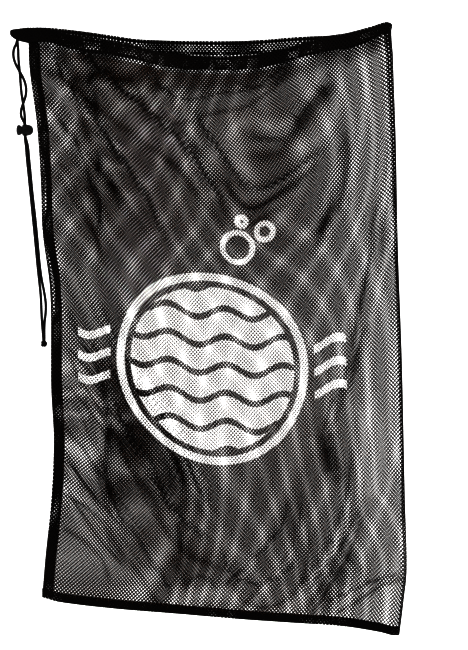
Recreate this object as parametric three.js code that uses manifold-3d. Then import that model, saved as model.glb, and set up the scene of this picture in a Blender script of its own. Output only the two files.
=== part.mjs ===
// A drawcord bag of knitted net, hanging empty from the two top corners of its mouth.
// Millimetres, +Z up. The front faces -Y, the side seam is at -X and the folded side at +X.
// The origin is the middle of the straight line between the two top corners.

import * as THREE from 'three';
import { mergeVertices } from 'three/addons/utils/BufferGeometryUtils.js';
import Module from 'manifold-3d';

const wasm = await Module();
wasm.setup();

// Bag sizes
const bagWidth = 480;
const bagHeight = 800;
const clothWall = 1.2;
const fit = 0.3;

// Depths, front to back
const mouthDepth = 36;
const frontMouthShare = 0.42;
const bodyDepth = 27;
const foldedSideDepth = 9;
const seamInnerGap = 0.5;

// Folds of the hanging cloth
const foldRise = 7;

// Seams
const sideSeamWidth = 15;
const bottomSeamHeight = 12;
const seamDepth = 3;

// Hem with the cord's channel
const hemHeight = 18.5;
const hemWall = 1;
const hemFootDepth = 2.6;
const mouthSag = 43;
const cornerRadius = 7;
const earLength = 24.4;
const exitFromTip = 9.5;

// Drawcord
const cordDiameter = 3.5;
const cordSides = 8;
const cordBendRadius = 7;
const strandStep = 9;

// Cord lock
const lockCentre = { x: -244.9, z: -139.5 };
const lockTravel = 3.5;
const barrelRadius = 7.9;
const barrelMouth = -3.8;
const barrelEnd = 10.9;
const plungerRadius = 5.2;
const plungerEndWall = 1.6;
const headRadius = 5.9;
const headLength = 3.6;
const lockSides = 16;

// Knot
const knotCentre = { x: -219.9, z: -421.5 };
const knotDiameter = 8.7;

// Left edge of the hanging bag: down is a share of its height, in a share of its width
const leftEdgeRows = [
  { down: 0.0, in: 0.0 },
  { down: 0.067, in: 0.002 },
  { down: 0.166, in: 0.023 },
  { down: 0.265, in: 0.034 },
  { down: 0.34, in: 0.038 },
  { down: 0.44, in: 0.059 },
  { down: 0.6, in: 0.062 },
  { down: 0.685, in: 0.069 },
  { down: 0.785, in: 0.062 },
  { down: 0.88, in: 0.046 },
  { down: 0.945, in: 0.037 },
];

// Right edge, the folded side
const rightEdgeRows = [
  { down: 0.0, out: 0.001 },
  { down: 0.042, out: -0.001 },
  { down: 0.19, out: 0.007 },
  { down: 0.37, out: 0.013 },
  { down: 0.56, out: 0.024 },
  { down: 0.78, out: 0.032 },
  { down: 0.9, out: 0.037 },
  { down: 0.955, out: 0.028 },
  { down: 1.008, out: 0.017 },
];

// Bottom edge: across is a share of the width, down a share of the height
const bottomEdgeRows = [
  { across: 0.0, down: 0.945 },
  { across: 0.05, down: 0.953 },
  { across: 0.21, down: 0.964 },
  { across: 0.4, down: 0.973 },
  { across: 0.56, down: 0.981 },
  { across: 0.71, down: 0.987 },
  { across: 0.86, down: 0.993 },
  { across: 0.96, down: 1.002 },
  { across: 1.0, down: 1.008 },
];

// Hem's top edge: front and back are shares of the mouth's sag, height a share of the hem's
const hemRows = [
  { across: 0.0, front: 0.1, back: 0.1, height: 1.09 },
  { across: 0.05, front: 0.12, back: 0.08, height: 1.02 },
  { across: 0.13, front: 0.37, back: 0.16, height: 1.0 },
  { across: 0.215, front: 0.51, back: 0.28, height: 1.0 },
  { across: 0.292, front: 0.66, back: 0.4, height: 1.0 },
  { across: 0.358, front: 0.86, back: 0.44, height: 1.0 },
  { across: 0.427, front: 0.96, back: 0.455, height: 1.0 },
  { across: 0.504, front: 1.0, back: 0.463, height: 1.0 },
  { across: 0.58, front: 0.99, back: 0.46, height: 1.0 },
  { across: 0.652, front: 0.9, back: 0.42, height: 1.0 },
  { across: 0.731, front: 0.67, back: 0.35, height: 1.0 },
  { across: 0.819, front: 0.38, back: 0.31, height: 1.05 },
  { across: 0.874, front: 0.28, back: 0.28, height: 1.05 },
  { across: 0.94, front: 0.08, back: 0.08, height: 0.93 },
  { across: 0.981, front: -0.06, back: -0.06, height: 0.75 },
  { across: 1.0, front: -0.02, back: -0.02, height: 0.66 },
];

// Ear, from the side seam out to its tip: out is a share of its length, drop and height shares of the hem's
const earRows = [
  { out: 0.14, drop: 0.24, height: 1.03 },
  { out: 0.36, drop: 0.28, height: 0.92 },
  { out: 0.61, drop: 0.32, height: 0.8 },
  { out: 0.82, drop: 0.36, height: 0.6 },
  { out: 0.95, drop: 0.41, height: 0.42 },
  { out: 1.0, drop: 0.47, height: 0.26 },
];

// Folds: each runs from a start by a middle to an end, in shares of the width and the height.
// Rise is a share of the fold rise, outwards if above 0, and width a share of the bag's width.
const frontFolds = [
  { x0: 0.02, z0: 0.05, x1: 0.14, z1: 0.22, x2: 0.33, z2: 0.44, rise: -0.8, width: 0.05 },
  { x0: 0.06, z0: 0.06, x1: 0.24, z1: 0.2, x2: 0.42, z2: 0.4, rise: 0.7, width: 0.055 },
  { x0: 0.12, z0: 0.08, x1: 0.36, z1: 0.17, x2: 0.6, z2: 0.3, rise: -0.9, width: 0.045 },
  { x0: 0.6, z0: 0.3, x1: 0.76, z1: 0.22, x2: 0.92, z2: 0.06, rise: -0.7, width: 0.05 },
  { x0: 0.3, z0: 0.1, x1: 0.52, z1: 0.17, x2: 0.8, z2: 0.11, rise: 0.6, width: 0.05 },
  { x0: 0.03, z0: 0.12, x1: 0.08, z1: 0.3, x2: 0.15, z2: 0.42, rise: 0.8, width: 0.04 },
  { x0: 0.08, z0: 0.44, x1: 0.16, z1: 0.57, x2: 0.22, z2: 0.72, rise: 0.9, width: 0.035 },
  { x0: 0.15, z0: 0.45, x1: 0.25, z1: 0.62, x2: 0.34, z2: 0.82, rise: -1.0, width: 0.07 },
  { x0: 0.07, z0: 0.6, x1: 0.19, z1: 0.75, x2: 0.28, z2: 0.93, rise: 0.8, width: 0.04 },
  { x0: 0.34, z0: 0.55, x1: 0.42, z1: 0.72, x2: 0.53, z2: 0.86, rise: 0.7, width: 0.05 },
  { x0: 0.95, z0: 0.72, x1: 0.86, z1: 0.84, x2: 0.7, z2: 0.93, rise: 0.8, width: 0.035 },
  { x0: 0.84, z0: 0.5, x1: 0.8, z1: 0.68, x2: 0.66, z2: 0.84, rise: -0.8, width: 0.06 },
  { x0: 1.0, z0: 0.9, x1: 0.88, z1: 0.93, x2: 0.74, z2: 0.95, rise: 0.5, width: 0.025 },
];
const backFolds = [
  { x0: 0.03, z0: 0.06, x1: 0.2, z1: 0.26, x2: 0.44, z2: 0.46, rise: 0.8, width: 0.06 },
  { x0: 0.95, z0: 0.06, x1: 0.76, z1: 0.2, x2: 0.58, z2: 0.4, rise: 0.7, width: 0.06 },
  { x0: 0.2, z0: 0.12, x1: 0.5, z1: 0.26, x2: 0.84, z2: 0.13, rise: -0.7, width: 0.06 },
  { x0: 0.08, z0: 0.4, x1: 0.26, z1: 0.62, x2: 0.48, z2: 0.84, rise: -0.8, width: 0.06 },
  { x0: 0.92, z0: 0.38, x1: 0.8, z1: 0.62, x2: 0.6, z2: 0.86, rise: 0.8, width: 0.06 },
  { x0: 0.3, z0: 0.5, x1: 0.5, z1: 0.66, x2: 0.66, z2: 0.7, rise: -0.5, width: 0.07 },
];

// Free ends of the drawcord, from the ear down to the knot, as chosen points
const frontStrandRoute = [
  [-255.2, -3.2, -21.2],
  [-255.6, -3.3, -25.5],
  [-259.2, -3.5, -31.5],
  [-260.4, -3.6, -40],
  [-258.4, -3.4, -50],
  [-252.6, -3.2, -61],
  [-246.6, -3.2, -72],
  [-243.6, -3, -83],
  [-244.4, -2.8, -94],
  [-247.6, -2.6, -104],
  [-250, -2.5, -114],
  [-249.6, -2.3, -122],
  [-246.8, -2, -127.5],
  [-244.9, -1.9, -131.5],
  [-244.9, -1.9, -139.5],
  [-244.9, -1.9, -147.5],
  [-244.4, -1.9, -153],
  [-243.2, -1.7, -162],
  [-242.3, -1.4, -176],
  [-240.4, -1.2, -194],
  [-238.4, -1.2, -214],
  [-236.3, -1.3, -234],
  [-234.4, -1.4, -254],
  [-232.3, -1.5, -274],
  [-230.2, -1.6, -296],
  [-228.2, -1.7, -318],
  [-226, -1.7, -338],
  [-223.8, -1.7, -358],
  [-223.2, -1.7, -376],
  [-222.4, -1.6, -392],
  [-221.2, -1.75, -406],
  [-220.4, -1.85, -416.6],
];
const backStrandRoute = [
  [-255.2, 3.2, -21.2],
  [-254.8, 3.2, -25.5],
  [-254, 2.9, -33],
  [-253.9, 2.4, -43],
  [-252.8, 1.6, -54],
  [-250.4, 1, -66],
  [-248, 0.9, -80],
  [-246.8, 1.1, -93],
  [-246, 1.5, -105],
  [-245.4, 1.9, -115],
  [-245.1, 2, -123],
  [-244.9, 1.9, -131.5],
  [-244.9, 1.9, -139.5],
  [-244.9, 1.9, -147.5],
  [-243.9, 1.8, -153],
  [-241.6, 1.7, -162],
  [-239.6, 1.5, -176],
  [-237.6, 1.4, -194],
  [-235.6, 1.3, -214],
  [-233.6, 1.2, -234],
  [-231.6, 1.1, -254],
  [-229.6, 1.1, -274],
  [-227.6, 1.2, -296],
  [-225.6, 1.3, -318],
  [-223.2, 1.4, -336],
  [-219.8, 1.6, -352],
  [-217.3, 1.8, -368],
  [-217.6, 1.8, -381],
  [-219.4, 1.7, -394],
  [-219.6, 1.75, -406],
  [-219.4, 1.85, -416.6],
];

// Finishes, as plain colours
const finishes = {
  net: new THREE.MeshStandardMaterial({ color: 0x16130f, roughness: 0.85, metalness: 0 }),
  seam: new THREE.MeshStandardMaterial({ color: 0x0d0c0b, roughness: 0.9, metalness: 0 }),
  cord: new THREE.MeshStandardMaterial({ color: 0x0f0f10, roughness: 0.8, metalness: 0 }),
  lock: new THREE.MeshStandardMaterial({ color: 0x141415, roughness: 0.45, metalness: 0 }),
};

// Sizes that follow from the ones above
const leftX = -bagWidth / 2;
const cordRoom = cordDiameter / 2 + fit;
const hemHalf = cordRoom + hemWall;
const channelDrop = hemWall + cordRoom;
const earHalfSpacing = hemHalf + fit / 2;
const seamHalf = (seamInnerGap + clothWall) / 2;
const cornerX = -leftX - hemHalf - cornerRadius;
const bottomSeamShare = bottomSeamHeight / (bagHeight - hemHeight);
const seamGapShare = (2 * fit) / bagHeight;
const bodyEnd = 1 - bottomSeamShare - seamGapShare;
const earTipX = leftX - earLength;
const exitX = earTipX + exitFromTip;

const { lerp, smoothstep } = THREE.MathUtils;

// Smooth value of one column of a table at a place in its key column
function column(rows, key, value, place) {
  const last = rows.length - 1;
  const at = Math.min(Math.max(place, rows[0][key]), rows[last][key]);
  let i = 0;
  while (i < last - 1 && rows[i + 1][key] < at) i += 1;
  const before = rows[Math.max(i - 1, 0)];
  const from = rows[i];
  const to = rows[i + 1];
  const after = rows[Math.min(i + 2, last)];
  const step = to[key] - from[key];
  const t = (at - from[key]) / step;
  const slopeFrom = (to[value] - before[value]) / (to[key] - before[key]);
  const slopeTo = (after[value] - from[value]) / (after[key] - from[key]);
  return (
    from[value] * (2 * t ** 3 - 3 * t ** 2 + 1) +
    to[value] * (3 * t ** 2 - 2 * t ** 3) +
    step * slopeFrom * (t ** 3 - 2 * t ** 2 + t) +
    step * slopeTo * (t ** 3 - t ** 2)
  );
}

// Outline of the hanging bag

function leftEdgeX(z) {
  return leftX + bagWidth * column(leftEdgeRows, 'down', 'in', -z / bagHeight);
}

function rightEdgeX(z) {
  return -leftX + bagWidth * column(rightEdgeRows, 'down', 'out', -z / bagHeight);
}

function bottomEdgeZ(across) {
  return -bagHeight * column(bottomEdgeRows, 'across', 'down', across);
}

function hemTopZ(face, across) {
  return -mouthSag * column(hemRows, 'across', face < 0 ? 'front' : 'back', across);
}

function hemHeightAt(across) {
  return hemHeight * column(hemRows, 'across', 'height', across);
}

function hemFootZ(face, across) {
  return hemTopZ(face, across) - hemHeightAt(across);
}

// Share of the full bow at a place across the bag, 0 at both edges
function bow(across) {
  return Math.sin(Math.PI * Math.min(Math.max(across, 0), 1)) ** 0.85;
}

// Distance of the hem's middle line from the bag's middle plane, at a share of the flat stretch
function hemHalfDepth(face, share) {
  const edge = lerp(earHalfSpacing, cornerRadius, smoothstep(share, 0, 1));
  const middle = mouthDepth * (face < 0 ? frontMouthShare : 1 - frontMouthShare);
  return edge + (middle - edge) * bow(share);
}

// Height of a fold's relief at a place, from the nearest point of its curve
function foldRelief(fold, across, down) {
  const steps = 14;
  const shape = bagHeight / bagWidth;
  let nearest = Infinity;
  let along = 0;
  for (let k = 0; k <= steps; k += 1) {
    const t = k / steps;
    const x = (1 - t) ** 2 * fold.x0 + 2 * t * (1 - t) * fold.x1 + t ** 2 * fold.x2;
    const z = (1 - t) ** 2 * fold.z0 + 2 * t * (1 - t) * fold.z1 + t ** 2 * fold.z2;
    const distance = Math.hypot(x - across, (z - down) * shape);
    if (distance < nearest) {
      nearest = distance;
      along = t;
    }
  }
  const fade = Math.sin(Math.PI * (0.08 + 0.84 * along));
  return fold.rise * fade * Math.exp(-((nearest / fold.width) ** 2));
}

function relief(face, across, down) {
  const folds = face < 0 ? frontFolds : backFolds;
  const total = folds.reduce((sum, fold) => sum + foldRelief(fold, across, down), 0);
  const hold = smoothstep(across, 0, 0.09) * smoothstep(1 - across, 0, 0.07);
  const ends = smoothstep(down, 0.02, 0.12) * smoothstep(0.985 - down, 0, 0.09);
  return foldRise * total * hold * ends;
}

// How far the two faces stand apart down the bag: 1 at the body, 0 at the bottom seam
function closing(down) {
  return Math.cos((Math.PI / 2) * smoothstep(down, 0.55, 1)) ** 0.8;
}

function foldedSideRadius(down) {
  const body = lerp(cornerRadius, foldedSideDepth / 2, smoothstep(down, 0, 0.3));
  return lerp(seamHalf, body, closing(down));
}

// Place of the cloth's middle surface: share runs across a face from the left edge to where the
// folded side begins to turn, down from the hem's foot to the bottom edge
function clothPoint(face, share, down) {
  const across = (share * (cornerX - leftX)) / bagWidth;
  const z = clothZ(face, across, down);
  const x = lerp(leftEdgeX(clothZ(face, 0, down)), turnX(down), share);
  const edgeHalf = lerp(seamHalf, foldedSideRadius(down), share);
  const bodyHalf = edgeHalf + (bodyDepth / 2 - edgeHalf) * bow(share);
  const open = lerp(hemHalfDepth(face, share), bodyHalf, smoothstep(down, 0, 0.35));
  const half = lerp(seamHalf, open, closing(down));
  return new THREE.Vector3(x, face * (half + relief(face, across, down)), z);
}

// Place of the cloth on the rounded folded side, at a turn from 0 on the front to 1 on the back
function foldedSidePoint(turn, down) {
  const radius = foldedSideRadius(down);
  const angle = Math.PI * (turn - 0.5);
  const across = (cornerX + cornerRadius * Math.cos(angle) - leftX) / bagWidth;
  const z = lerp(clothZ(-1, across, down), clothZ(1, across, down), turn);
  return new THREE.Vector3(turnX(down) + radius * Math.cos(angle), radius * Math.sin(angle), z);
}

function clothZ(face, across, down) {
  return lerp(hemFootZ(face, across) - fit, bottomEdgeZ(across), down);
}

// Middle of the folded side's turn, which runs from the hem's corner out to the bag's right edge
function turnX(down) {
  const edge = rightEdgeX(clothZ(-1, 1, down)) - clothWall / 2;
  return lerp(cornerX, edge - foldedSideRadius(down), smoothstep(down, 0, 0.04));
}

// Closed solid lofted through rings of points, with a flat end on the first and the last
function loft(rings) {
  const sides = rings[0].length;
  const positions = rings.flat().flatMap((p) => [p.x, p.y, p.z]);
  const triangles = [];
  for (let r = 0; r + 1 < rings.length; r += 1) {
    for (let s = 0; s < sides; s += 1) {
      const a = r * sides + s;
      const b = r * sides + ((s + 1) % sides);
      triangles.push(a, b, a + sides, b, b + sides, a + sides);
    }
  }
  const lastRing = (rings.length - 1) * sides;
  for (let s = 1; s + 1 < sides; s += 1) {
    triangles.push(0, s + 1, s);
    triangles.push(lastRing, lastRing + s, lastRing + s + 1);
  }
  const geometry = new THREE.BufferGeometry();
  geometry.setAttribute('position', new THREE.Float32BufferAttribute(positions, 3));
  geometry.setIndex(triangles);
  return facingOut(geometry);
}

// The geometry with its triangles turned so that its volume is positive
function facingOut(geometry) {
  const p = geometry.attributes.position;
  const index = geometry.index.array;
  let volume = 0;
  const [a, b, c] = [new THREE.Vector3(), new THREE.Vector3(), new THREE.Vector3()];
  for (let i = 0; i < index.length; i += 3) {
    a.fromBufferAttribute(p, index[i]);
    b.fromBufferAttribute(p, index[i + 1]);
    c.fromBufferAttribute(p, index[i + 2]);
    volume += a.dot(b.cross(c));
  }
  if (volume < 0) {
    for (let i = 0; i < index.length; i += 3) {
      [index[i + 1], index[i + 2]] = [index[i + 2], index[i + 1]];
    }
  }
  return geometry;
}

// Joins and cuts of closed geometries

function solidOf(geometry) {
  const bare = geometry.clone();
  bare.deleteAttribute('normal');
  bare.deleteAttribute('uv');
  const merged = mergeVertices(bare, 1e-4);
  return new wasm.Manifold(
    new wasm.Mesh({
      numProp: 3,
      vertProperties: merged.attributes.position.array,
      triVerts: new Uint32Array(merged.index.array),
    }),
  );
}

function geometryOf(solid) {
  const mesh = solid.getMesh();
  const geometry = new THREE.BufferGeometry();
  geometry.setAttribute('position', new THREE.BufferAttribute(mesh.vertProperties, 3));
  geometry.setIndex(new THREE.BufferAttribute(mesh.triVerts, 1));
  geometry.computeVertexNormals();
  return geometry;
}

function cut(geometry, tools) {
  return geometryOf(tools.reduce((solid, tool) => solid.subtract(solidOf(tool)), solidOf(geometry)));
}

// Shares of a face's flat stretch where the cloth's columns and the hem's stations stand
function flatShares() {
  const flats = 18;
  const first = (sideSeamWidth + fit) / (cornerX - leftX);
  return Array.from({ length: flats }, (_, k) => lerp(first, 1, k / (flats - 1)));
}

const turnSteps = 6;

// The net runs across the front, round the folded side and across the back. It parts in two
// solids along the folded side's outermost line, with a small gap there.
function netGrid() {
  const rows = 26;
  const shares = flatShares();
  const columns = shares.slice(0, -1).map((share) => (down) => clothPoint(-1, share, down));
  for (let k = 0; k <= turnSteps; k += 1) {
    columns.push((down) => foldedSidePoint(k / turnSteps, down));
  }
  shares.reverse().slice(1).forEach((share) => {
    columns.push((down) => clothPoint(1, share, down));
  });
  const grid = [];
  for (let r = 0; r <= rows; r += 1) {
    grid.push(columns.map((point) => point((r / rows) * bodyEnd)));
  }
  return grid;
}

function netPanel(face) {
  const { outer, inner } = bothSides(netGrid(), clothWall);
  const middle = (outer[0].length - 1) / 2;
  const half = (side) =>
    side.map((row) => {
      const part = face < 0 ? row.slice(0, middle + 1) : row.slice(middle);
      const last = part[face < 0 ? part.length - 1 : 0];
      last.y += (face * fit) / 2;
      return part;
    });
  return wall(half(outer), half(inner));
}

// Points on the outer and the inner side of cloth of even thickness about a grid of points
function bothSides(grid, thickness) {
  const rows = grid.length;
  const columns = grid[0].length;
  const alongRow = new THREE.Vector3();
  const downColumn = new THREE.Vector3();
  const offset = (side) =>
    grid.map((row, r) =>
      row.map((point, c) => {
        alongRow.subVectors(row[Math.min(c + 1, columns - 1)], row[Math.max(c - 1, 0)]);
        downColumn.subVectors(grid[Math.min(r + 1, rows - 1)][c], grid[Math.max(r - 1, 0)][c]);
        const out = alongRow.clone().cross(downColumn).normalize();
        return point.clone().add(out.multiplyScalar((side * thickness) / 2));
      }),
    );
  return { outer: offset(1), inner: offset(-1) };
}

// Closed wall between an outer and an inner grid of points
function wall(outer, inner) {
  const rows = outer.length;
  const columns = outer[0].length;
  const half = rows * columns;
  const at = (r, c) => r * columns + c;
  const triangles = [];
  const quad = (a, b, c, d) => triangles.push(a, b, c, a, c, d);
  for (let r = 0; r + 1 < rows; r += 1) {
    for (let c = 0; c + 1 < columns; c += 1) {
      quad(at(r, c), at(r, c + 1), at(r + 1, c + 1), at(r + 1, c));
      quad(half + at(r, c), half + at(r + 1, c), half + at(r + 1, c + 1), half + at(r, c + 1));
    }
  }
  for (let c = 0; c + 1 < columns; c += 1) {
    quad(at(0, c + 1), at(0, c), half + at(0, c), half + at(0, c + 1));
    quad(at(rows - 1, c), at(rows - 1, c + 1), half + at(rows - 1, c + 1), half + at(rows - 1, c));
  }
  for (let r = 0; r + 1 < rows; r += 1) {
    quad(at(r, 0), at(r + 1, 0), half + at(r + 1, 0), half + at(r, 0));
    quad(at(r + 1, columns - 1), at(r, columns - 1), half + at(r, columns - 1), half + at(r + 1, columns - 1));
  }
  const geometry = new THREE.BufferGeometry();
  const positions = [...outer.flat(), ...inner.flat()].flatMap((p) => [p.x, p.y, p.z]);
  geometry.setAttribute('position', new THREE.Float32BufferAttribute(positions, 3));
  geometry.setIndex(triangles);
  return facingOut(geometry);
}

// Ring of a flat seam between its outer edge and its inner edge, thinner at the outer one
function seamRing(outerEdge, innerEdge) {
  const shares = [
    { in: 0, half: 0.6 },
    { in: 0.1, half: 1 },
    { in: 1, half: 1 },
  ];
  const ring = [];
  const place = (share, side) => {
    const point = outerEdge.clone().lerp(innerEdge, share.in);
    point.y = (side * share.half * seamDepth) / 2;
    return point;
  };
  shares.forEach((share) => ring.push(place(share, -1)));
  [...shares].reverse().forEach((share) => ring.push(place(share, 1)));
  return ring;
}

function sideSeam() {
  const rings = [];
  const steps = 24;
  const innerShare = sideSeamWidth / (cornerX - leftX);
  for (let k = 0; k <= steps; k += 1) {
    const down = (k / steps) * bodyEnd;
    rings.push(seamRing(clothPoint(-1, 0, down), clothPoint(-1, innerShare, down)));
  }
  return loft(rings);
}

function bottomSeam() {
  const top = 1 - bottomSeamShare;
  const rings = [0, ...flatShares()].map((share) =>
    seamRing(clothPoint(-1, share, 1), clothPoint(-1, share, top)),
  );
  for (let k = 1; k <= turnSteps / 2; k += 1) {
    const turn = k / turnSteps;
    rings.push(seamRing(foldedSidePoint(turn, 1), foldedSidePoint(turn, top + seamGapShare)));
  }
  return loft(rings);
}

// Stations of the hem's middle line, from the ear along the front, round the corner and back
function hemStations() {
  const ear = (face) =>
    earRows.map((row) => ({
      x: leftX - row.out * earLength,
      y: face * earHalfSpacing,
      top: -row.drop * hemHeight,
      height: row.height * hemHeight,
      fullness: 1,
    })).reverse();
  const flat = (face) =>
    [0, ...flatShares().slice(0, -1)].map((share) => {
      const across = (share * (cornerX - leftX)) / bagWidth;
      return {
        x: lerp(leftX, cornerX, share),
        y: face * hemHalfDepth(face, share),
        top: hemTopZ(face, across),
        height: hemHeightAt(across),
        fullness: 1 - smoothstep(share, 0, 0.08),
      };
    });
  const turns = [];
  for (let k = 0; k <= turnSteps; k += 1) {
    const angle = Math.PI * (k / turnSteps - 0.5);
    const x = cornerX + cornerRadius * Math.cos(angle);
    const across = (x - leftX) / bagWidth;
    const top = lerp(hemTopZ(-1, across), hemTopZ(1, across), k / turnSteps);
    const y = cornerRadius * Math.sin(angle);
    turns.push({ x, y, top, height: hemHeightAt(across), fullness: 0 });
  }
  return [...ear(-1), ...flat(-1), ...turns, ...[...ear(1), ...flat(1)].reverse()];
}

// Half widths of the hem's drop-shaped section, from its top to its foot
function hemSection(height, fullness, inset) {
  const half = hemHalf - inset;
  const foot = lerp(hemFootDepth / 2, hemHalf, fullness) - inset;
  const slim = Math.max(foot, fit);
  const bottom = height - (inset > 0 ? inset * 1.2 : 0);
  const middle = Math.min(hemHalf, height * 0.4);
  return [
    { below: inset + (middle - inset) * 0.3, half: half * 0.72 },
    { below: middle, half },
    { below: lerp(middle, bottom, 0.4), half: lerp(slim, half, 0.4) },
    { below: bottom, half: slim },
  ];
}

function hemRing(station, aside, inset) {
  const section = hemSection(station.height, station.fullness, inset);
  const place = (half, below) =>
    new THREE.Vector3(station.x + aside.x * half, station.y + aside.y * half, station.top - below);
  const ring = [place(0, inset)];
  section.forEach((row) => ring.push(place(row.half, row.below)));
  [...section].reverse().forEach((row) => ring.push(place(-row.half, row.below)));
  return ring;
}

function hemRings(stations, inset) {
  return stations.map((station, k) => {
    const before = stations[Math.max(k - 1, 0)];
    const after = stations[Math.min(k + 1, stations.length - 1)];
    const aside = new THREE.Vector2(after.x - before.x, after.y - before.y).normalize();
    return hemRing(station, new THREE.Vector2(-aside.y, aside.x), inset);
  });
}

function exitHole(face) {
  const height = hemHeight;
  const hole = new THREE.CylinderGeometry(cordRoom, cordRoom, height, 12);
  hole.rotateX(Math.PI / 2);
  hole.translate(exitX, face * earHalfSpacing, exitZ() - height / 2 + cordBendRadius);
  return hole;
}

// Underside of the ear where the cord leaves it
function exitZ() {
  const out = (leftX - exitX) / earLength;
  const drop = column(earRows, 'out', 'drop', out);
  return -hemHeight * (drop + column(earRows, 'out', 'height', out));
}

function mouthHem() {
  const stations = hemStations();
  const outer = loft(hemRings(stations, 0));
  const channel = loft(hemRings(stations.slice(2, -2), hemWall));
  return cut(outer, [channel, exitHole(-1), exitHole(1)]);
}

// Path through chosen stations, which a section swept along it meets one by one
class StationPath extends THREE.Curve {
  constructor(stations) {
    super();
    this.stations = stations;
  }

  getPoint(t, target = new THREE.Vector3()) {
    const place = t * (this.stations.length - 1);
    const k = Math.min(Math.floor(place), this.stations.length - 2);
    return target.lerpVectors(this.stations[k], this.stations[k + 1], place - k);
  }

  getTangent(t, target = new THREE.Vector3()) {
    const last = this.stations.length - 1;
    const k = Math.round(t * last);
    const before = this.stations[Math.max(k - 1, 0)];
    const here = this.stations[k];
    const after = this.stations[Math.min(k + 1, last)];
    const arriving = here.clone().sub(before).normalize();
    const leaving = after.clone().sub(here).normalize();
    return target.addVectors(arriving, leaving).normalize();
  }

  getUtoTmapping(u) {
    return u;
  }
}

// The cord inside the channel, down through both exits of the ear
function channelCord() {
  const centreX = exitX + cordBendRadius;
  const inHem = hemStations().filter((station) => station.x > centreX);
  const points = inHem.map((s) => new THREE.Vector3(s.x, s.y, s.top - channelDrop));
  const startDrop = hemHeight * column(earRows, 'out', 'drop', (leftX - centreX) / earLength);
  const centreZ = -startDrop - channelDrop - cordBendRadius;
  const ending = (face) => {
    const bend = [0, 1, 2, 3].map((k) => {
      const angle = (Math.PI / 2) * (k / 3);
      const x = centreX - cordBendRadius * Math.sin(angle);
      const z = centreZ + cordBendRadius * Math.cos(angle);
      return new THREE.Vector3(x, face * earHalfSpacing, z);
    });
    return [...bend, new THREE.Vector3(exitX, face * earHalfSpacing, exitZ() + fit)];
  };
  const route = [...ending(-1).reverse(), ...points, ...ending(1)];
  return cordAlong(new StationPath(route), route.length - 1);
}

function cordAlong(path, steps) {
  const shape = new THREE.Shape();
  const radius = cordDiameter / 2;
  for (let k = 0; k < cordSides; k += 1) {
    const angle = (2 * Math.PI * k) / cordSides;
    const place = [radius * Math.cos(angle), radius * Math.sin(angle)];
    if (k === 0) shape.moveTo(...place);
    else shape.lineTo(...place);
  }
  return new THREE.ExtrudeGeometry(shape, { steps, extrudePath: path, bevelEnabled: false });
}

function strand(route) {
  const points = route.map((p) => new THREE.Vector3(...p));
  const path = new THREE.CatmullRomCurve3(points, false, 'centripetal');
  return cordAlong(path, Math.round(path.getLength() / strandStep));
}

// Cord lock: the plunger slides along X in the barrel, and both cords pass through it along Z

const windowHalfX = cordDiameter / 2 + fit;
const windowHalfY = cordDiameter + fit + fit / 2;
const boreRadius = plungerRadius + fit;
const plungerEnd = windowHalfX + plungerEndWall;
const boreEnd = plungerEnd + lockTravel + fit;
const headShoulder = barrelMouth - lockTravel;

// Round solid about the lock's long axis from rows of place and radius
function turned(rows) {
  const profile = rows.map((row) => new THREE.Vector2(row.radius, row.x));
  const geometry = new THREE.LatheGeometry(profile, lockSides);
  geometry.rotateZ(-Math.PI / 2);
  return facingOut(mergeVertices(stripped(geometry), 1e-4));
}

function stripped(geometry) {
  geometry.deleteAttribute('normal');
  geometry.deleteAttribute('uv');
  return geometry;
}

// Slot along Z with rounded ends front and back
function slot(fromX, toX, halfY) {
  const round = (toX - fromX) / 2 > 1 ? 1 : (toX - fromX) / 2;
  const shape = new THREE.Shape();
  shape.moveTo(fromX + round, -halfY);
  shape.lineTo(toX - round, -halfY);
  shape.absarc(toX - round, -halfY + round, round, -Math.PI / 2, 0);
  shape.absarc(toX - round, halfY - round, round, 0, Math.PI / 2);
  shape.absarc(fromX + round, halfY - round, round, Math.PI / 2, Math.PI);
  shape.absarc(fromX + round, -halfY + round, round, Math.PI, 1.5 * Math.PI);
  const depth = 3 * barrelRadius;
  const geometry = new THREE.ExtrudeGeometry(shape, { depth, bevelEnabled: false, curveSegments: 3 });
  geometry.translate(0, 0, -depth / 2);
  return geometry;
}

function lockBarrel() {
  const length = barrelEnd - barrelMouth;
  const body = turned([
    { x: barrelMouth, radius: 0 },
    { x: barrelMouth, radius: barrelRadius * 0.86 },
    { x: barrelMouth + length * 0.06, radius: barrelRadius * 0.93 },
    { x: barrelMouth + length * 0.28, radius: barrelRadius },
    { x: barrelMouth + length * 0.55, radius: barrelRadius * 0.98 },
    { x: barrelMouth + length * 0.8, radius: barrelRadius * 0.8 },
    { x: barrelMouth + length * 0.94, radius: barrelRadius * 0.5 },
    { x: barrelEnd, radius: barrelRadius * 0.2 },
    { x: barrelEnd, radius: 0 },
  ]);
  const bore = turned([
    { x: barrelMouth - 1, radius: 0 },
    { x: barrelMouth - 1, radius: boreRadius },
    { x: boreEnd, radius: boreRadius },
    { x: boreEnd, radius: 0 },
  ]);
  return cut(body, [bore, slot(-windowHalfX, windowHalfX, windowHalfY)]);
}

function lockButton() {
  const tip = headShoulder - headLength;
  const body = turned([
    { x: tip, radius: 0 },
    { x: tip + headLength * 0.06, radius: headRadius * 0.45 },
    { x: tip + headLength * 0.35, radius: headRadius * 0.86 },
    { x: tip + headLength * 0.75, radius: headRadius },
    { x: headShoulder, radius: headRadius * 0.97 },
    { x: headShoulder, radius: plungerRadius },
    { x: plungerEnd, radius: plungerRadius },
    { x: plungerEnd, radius: 0 },
  ]);
  return cut(body, [slot(-windowHalfX - lockTravel, windowHalfX, windowHalfY)]);
}

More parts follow.
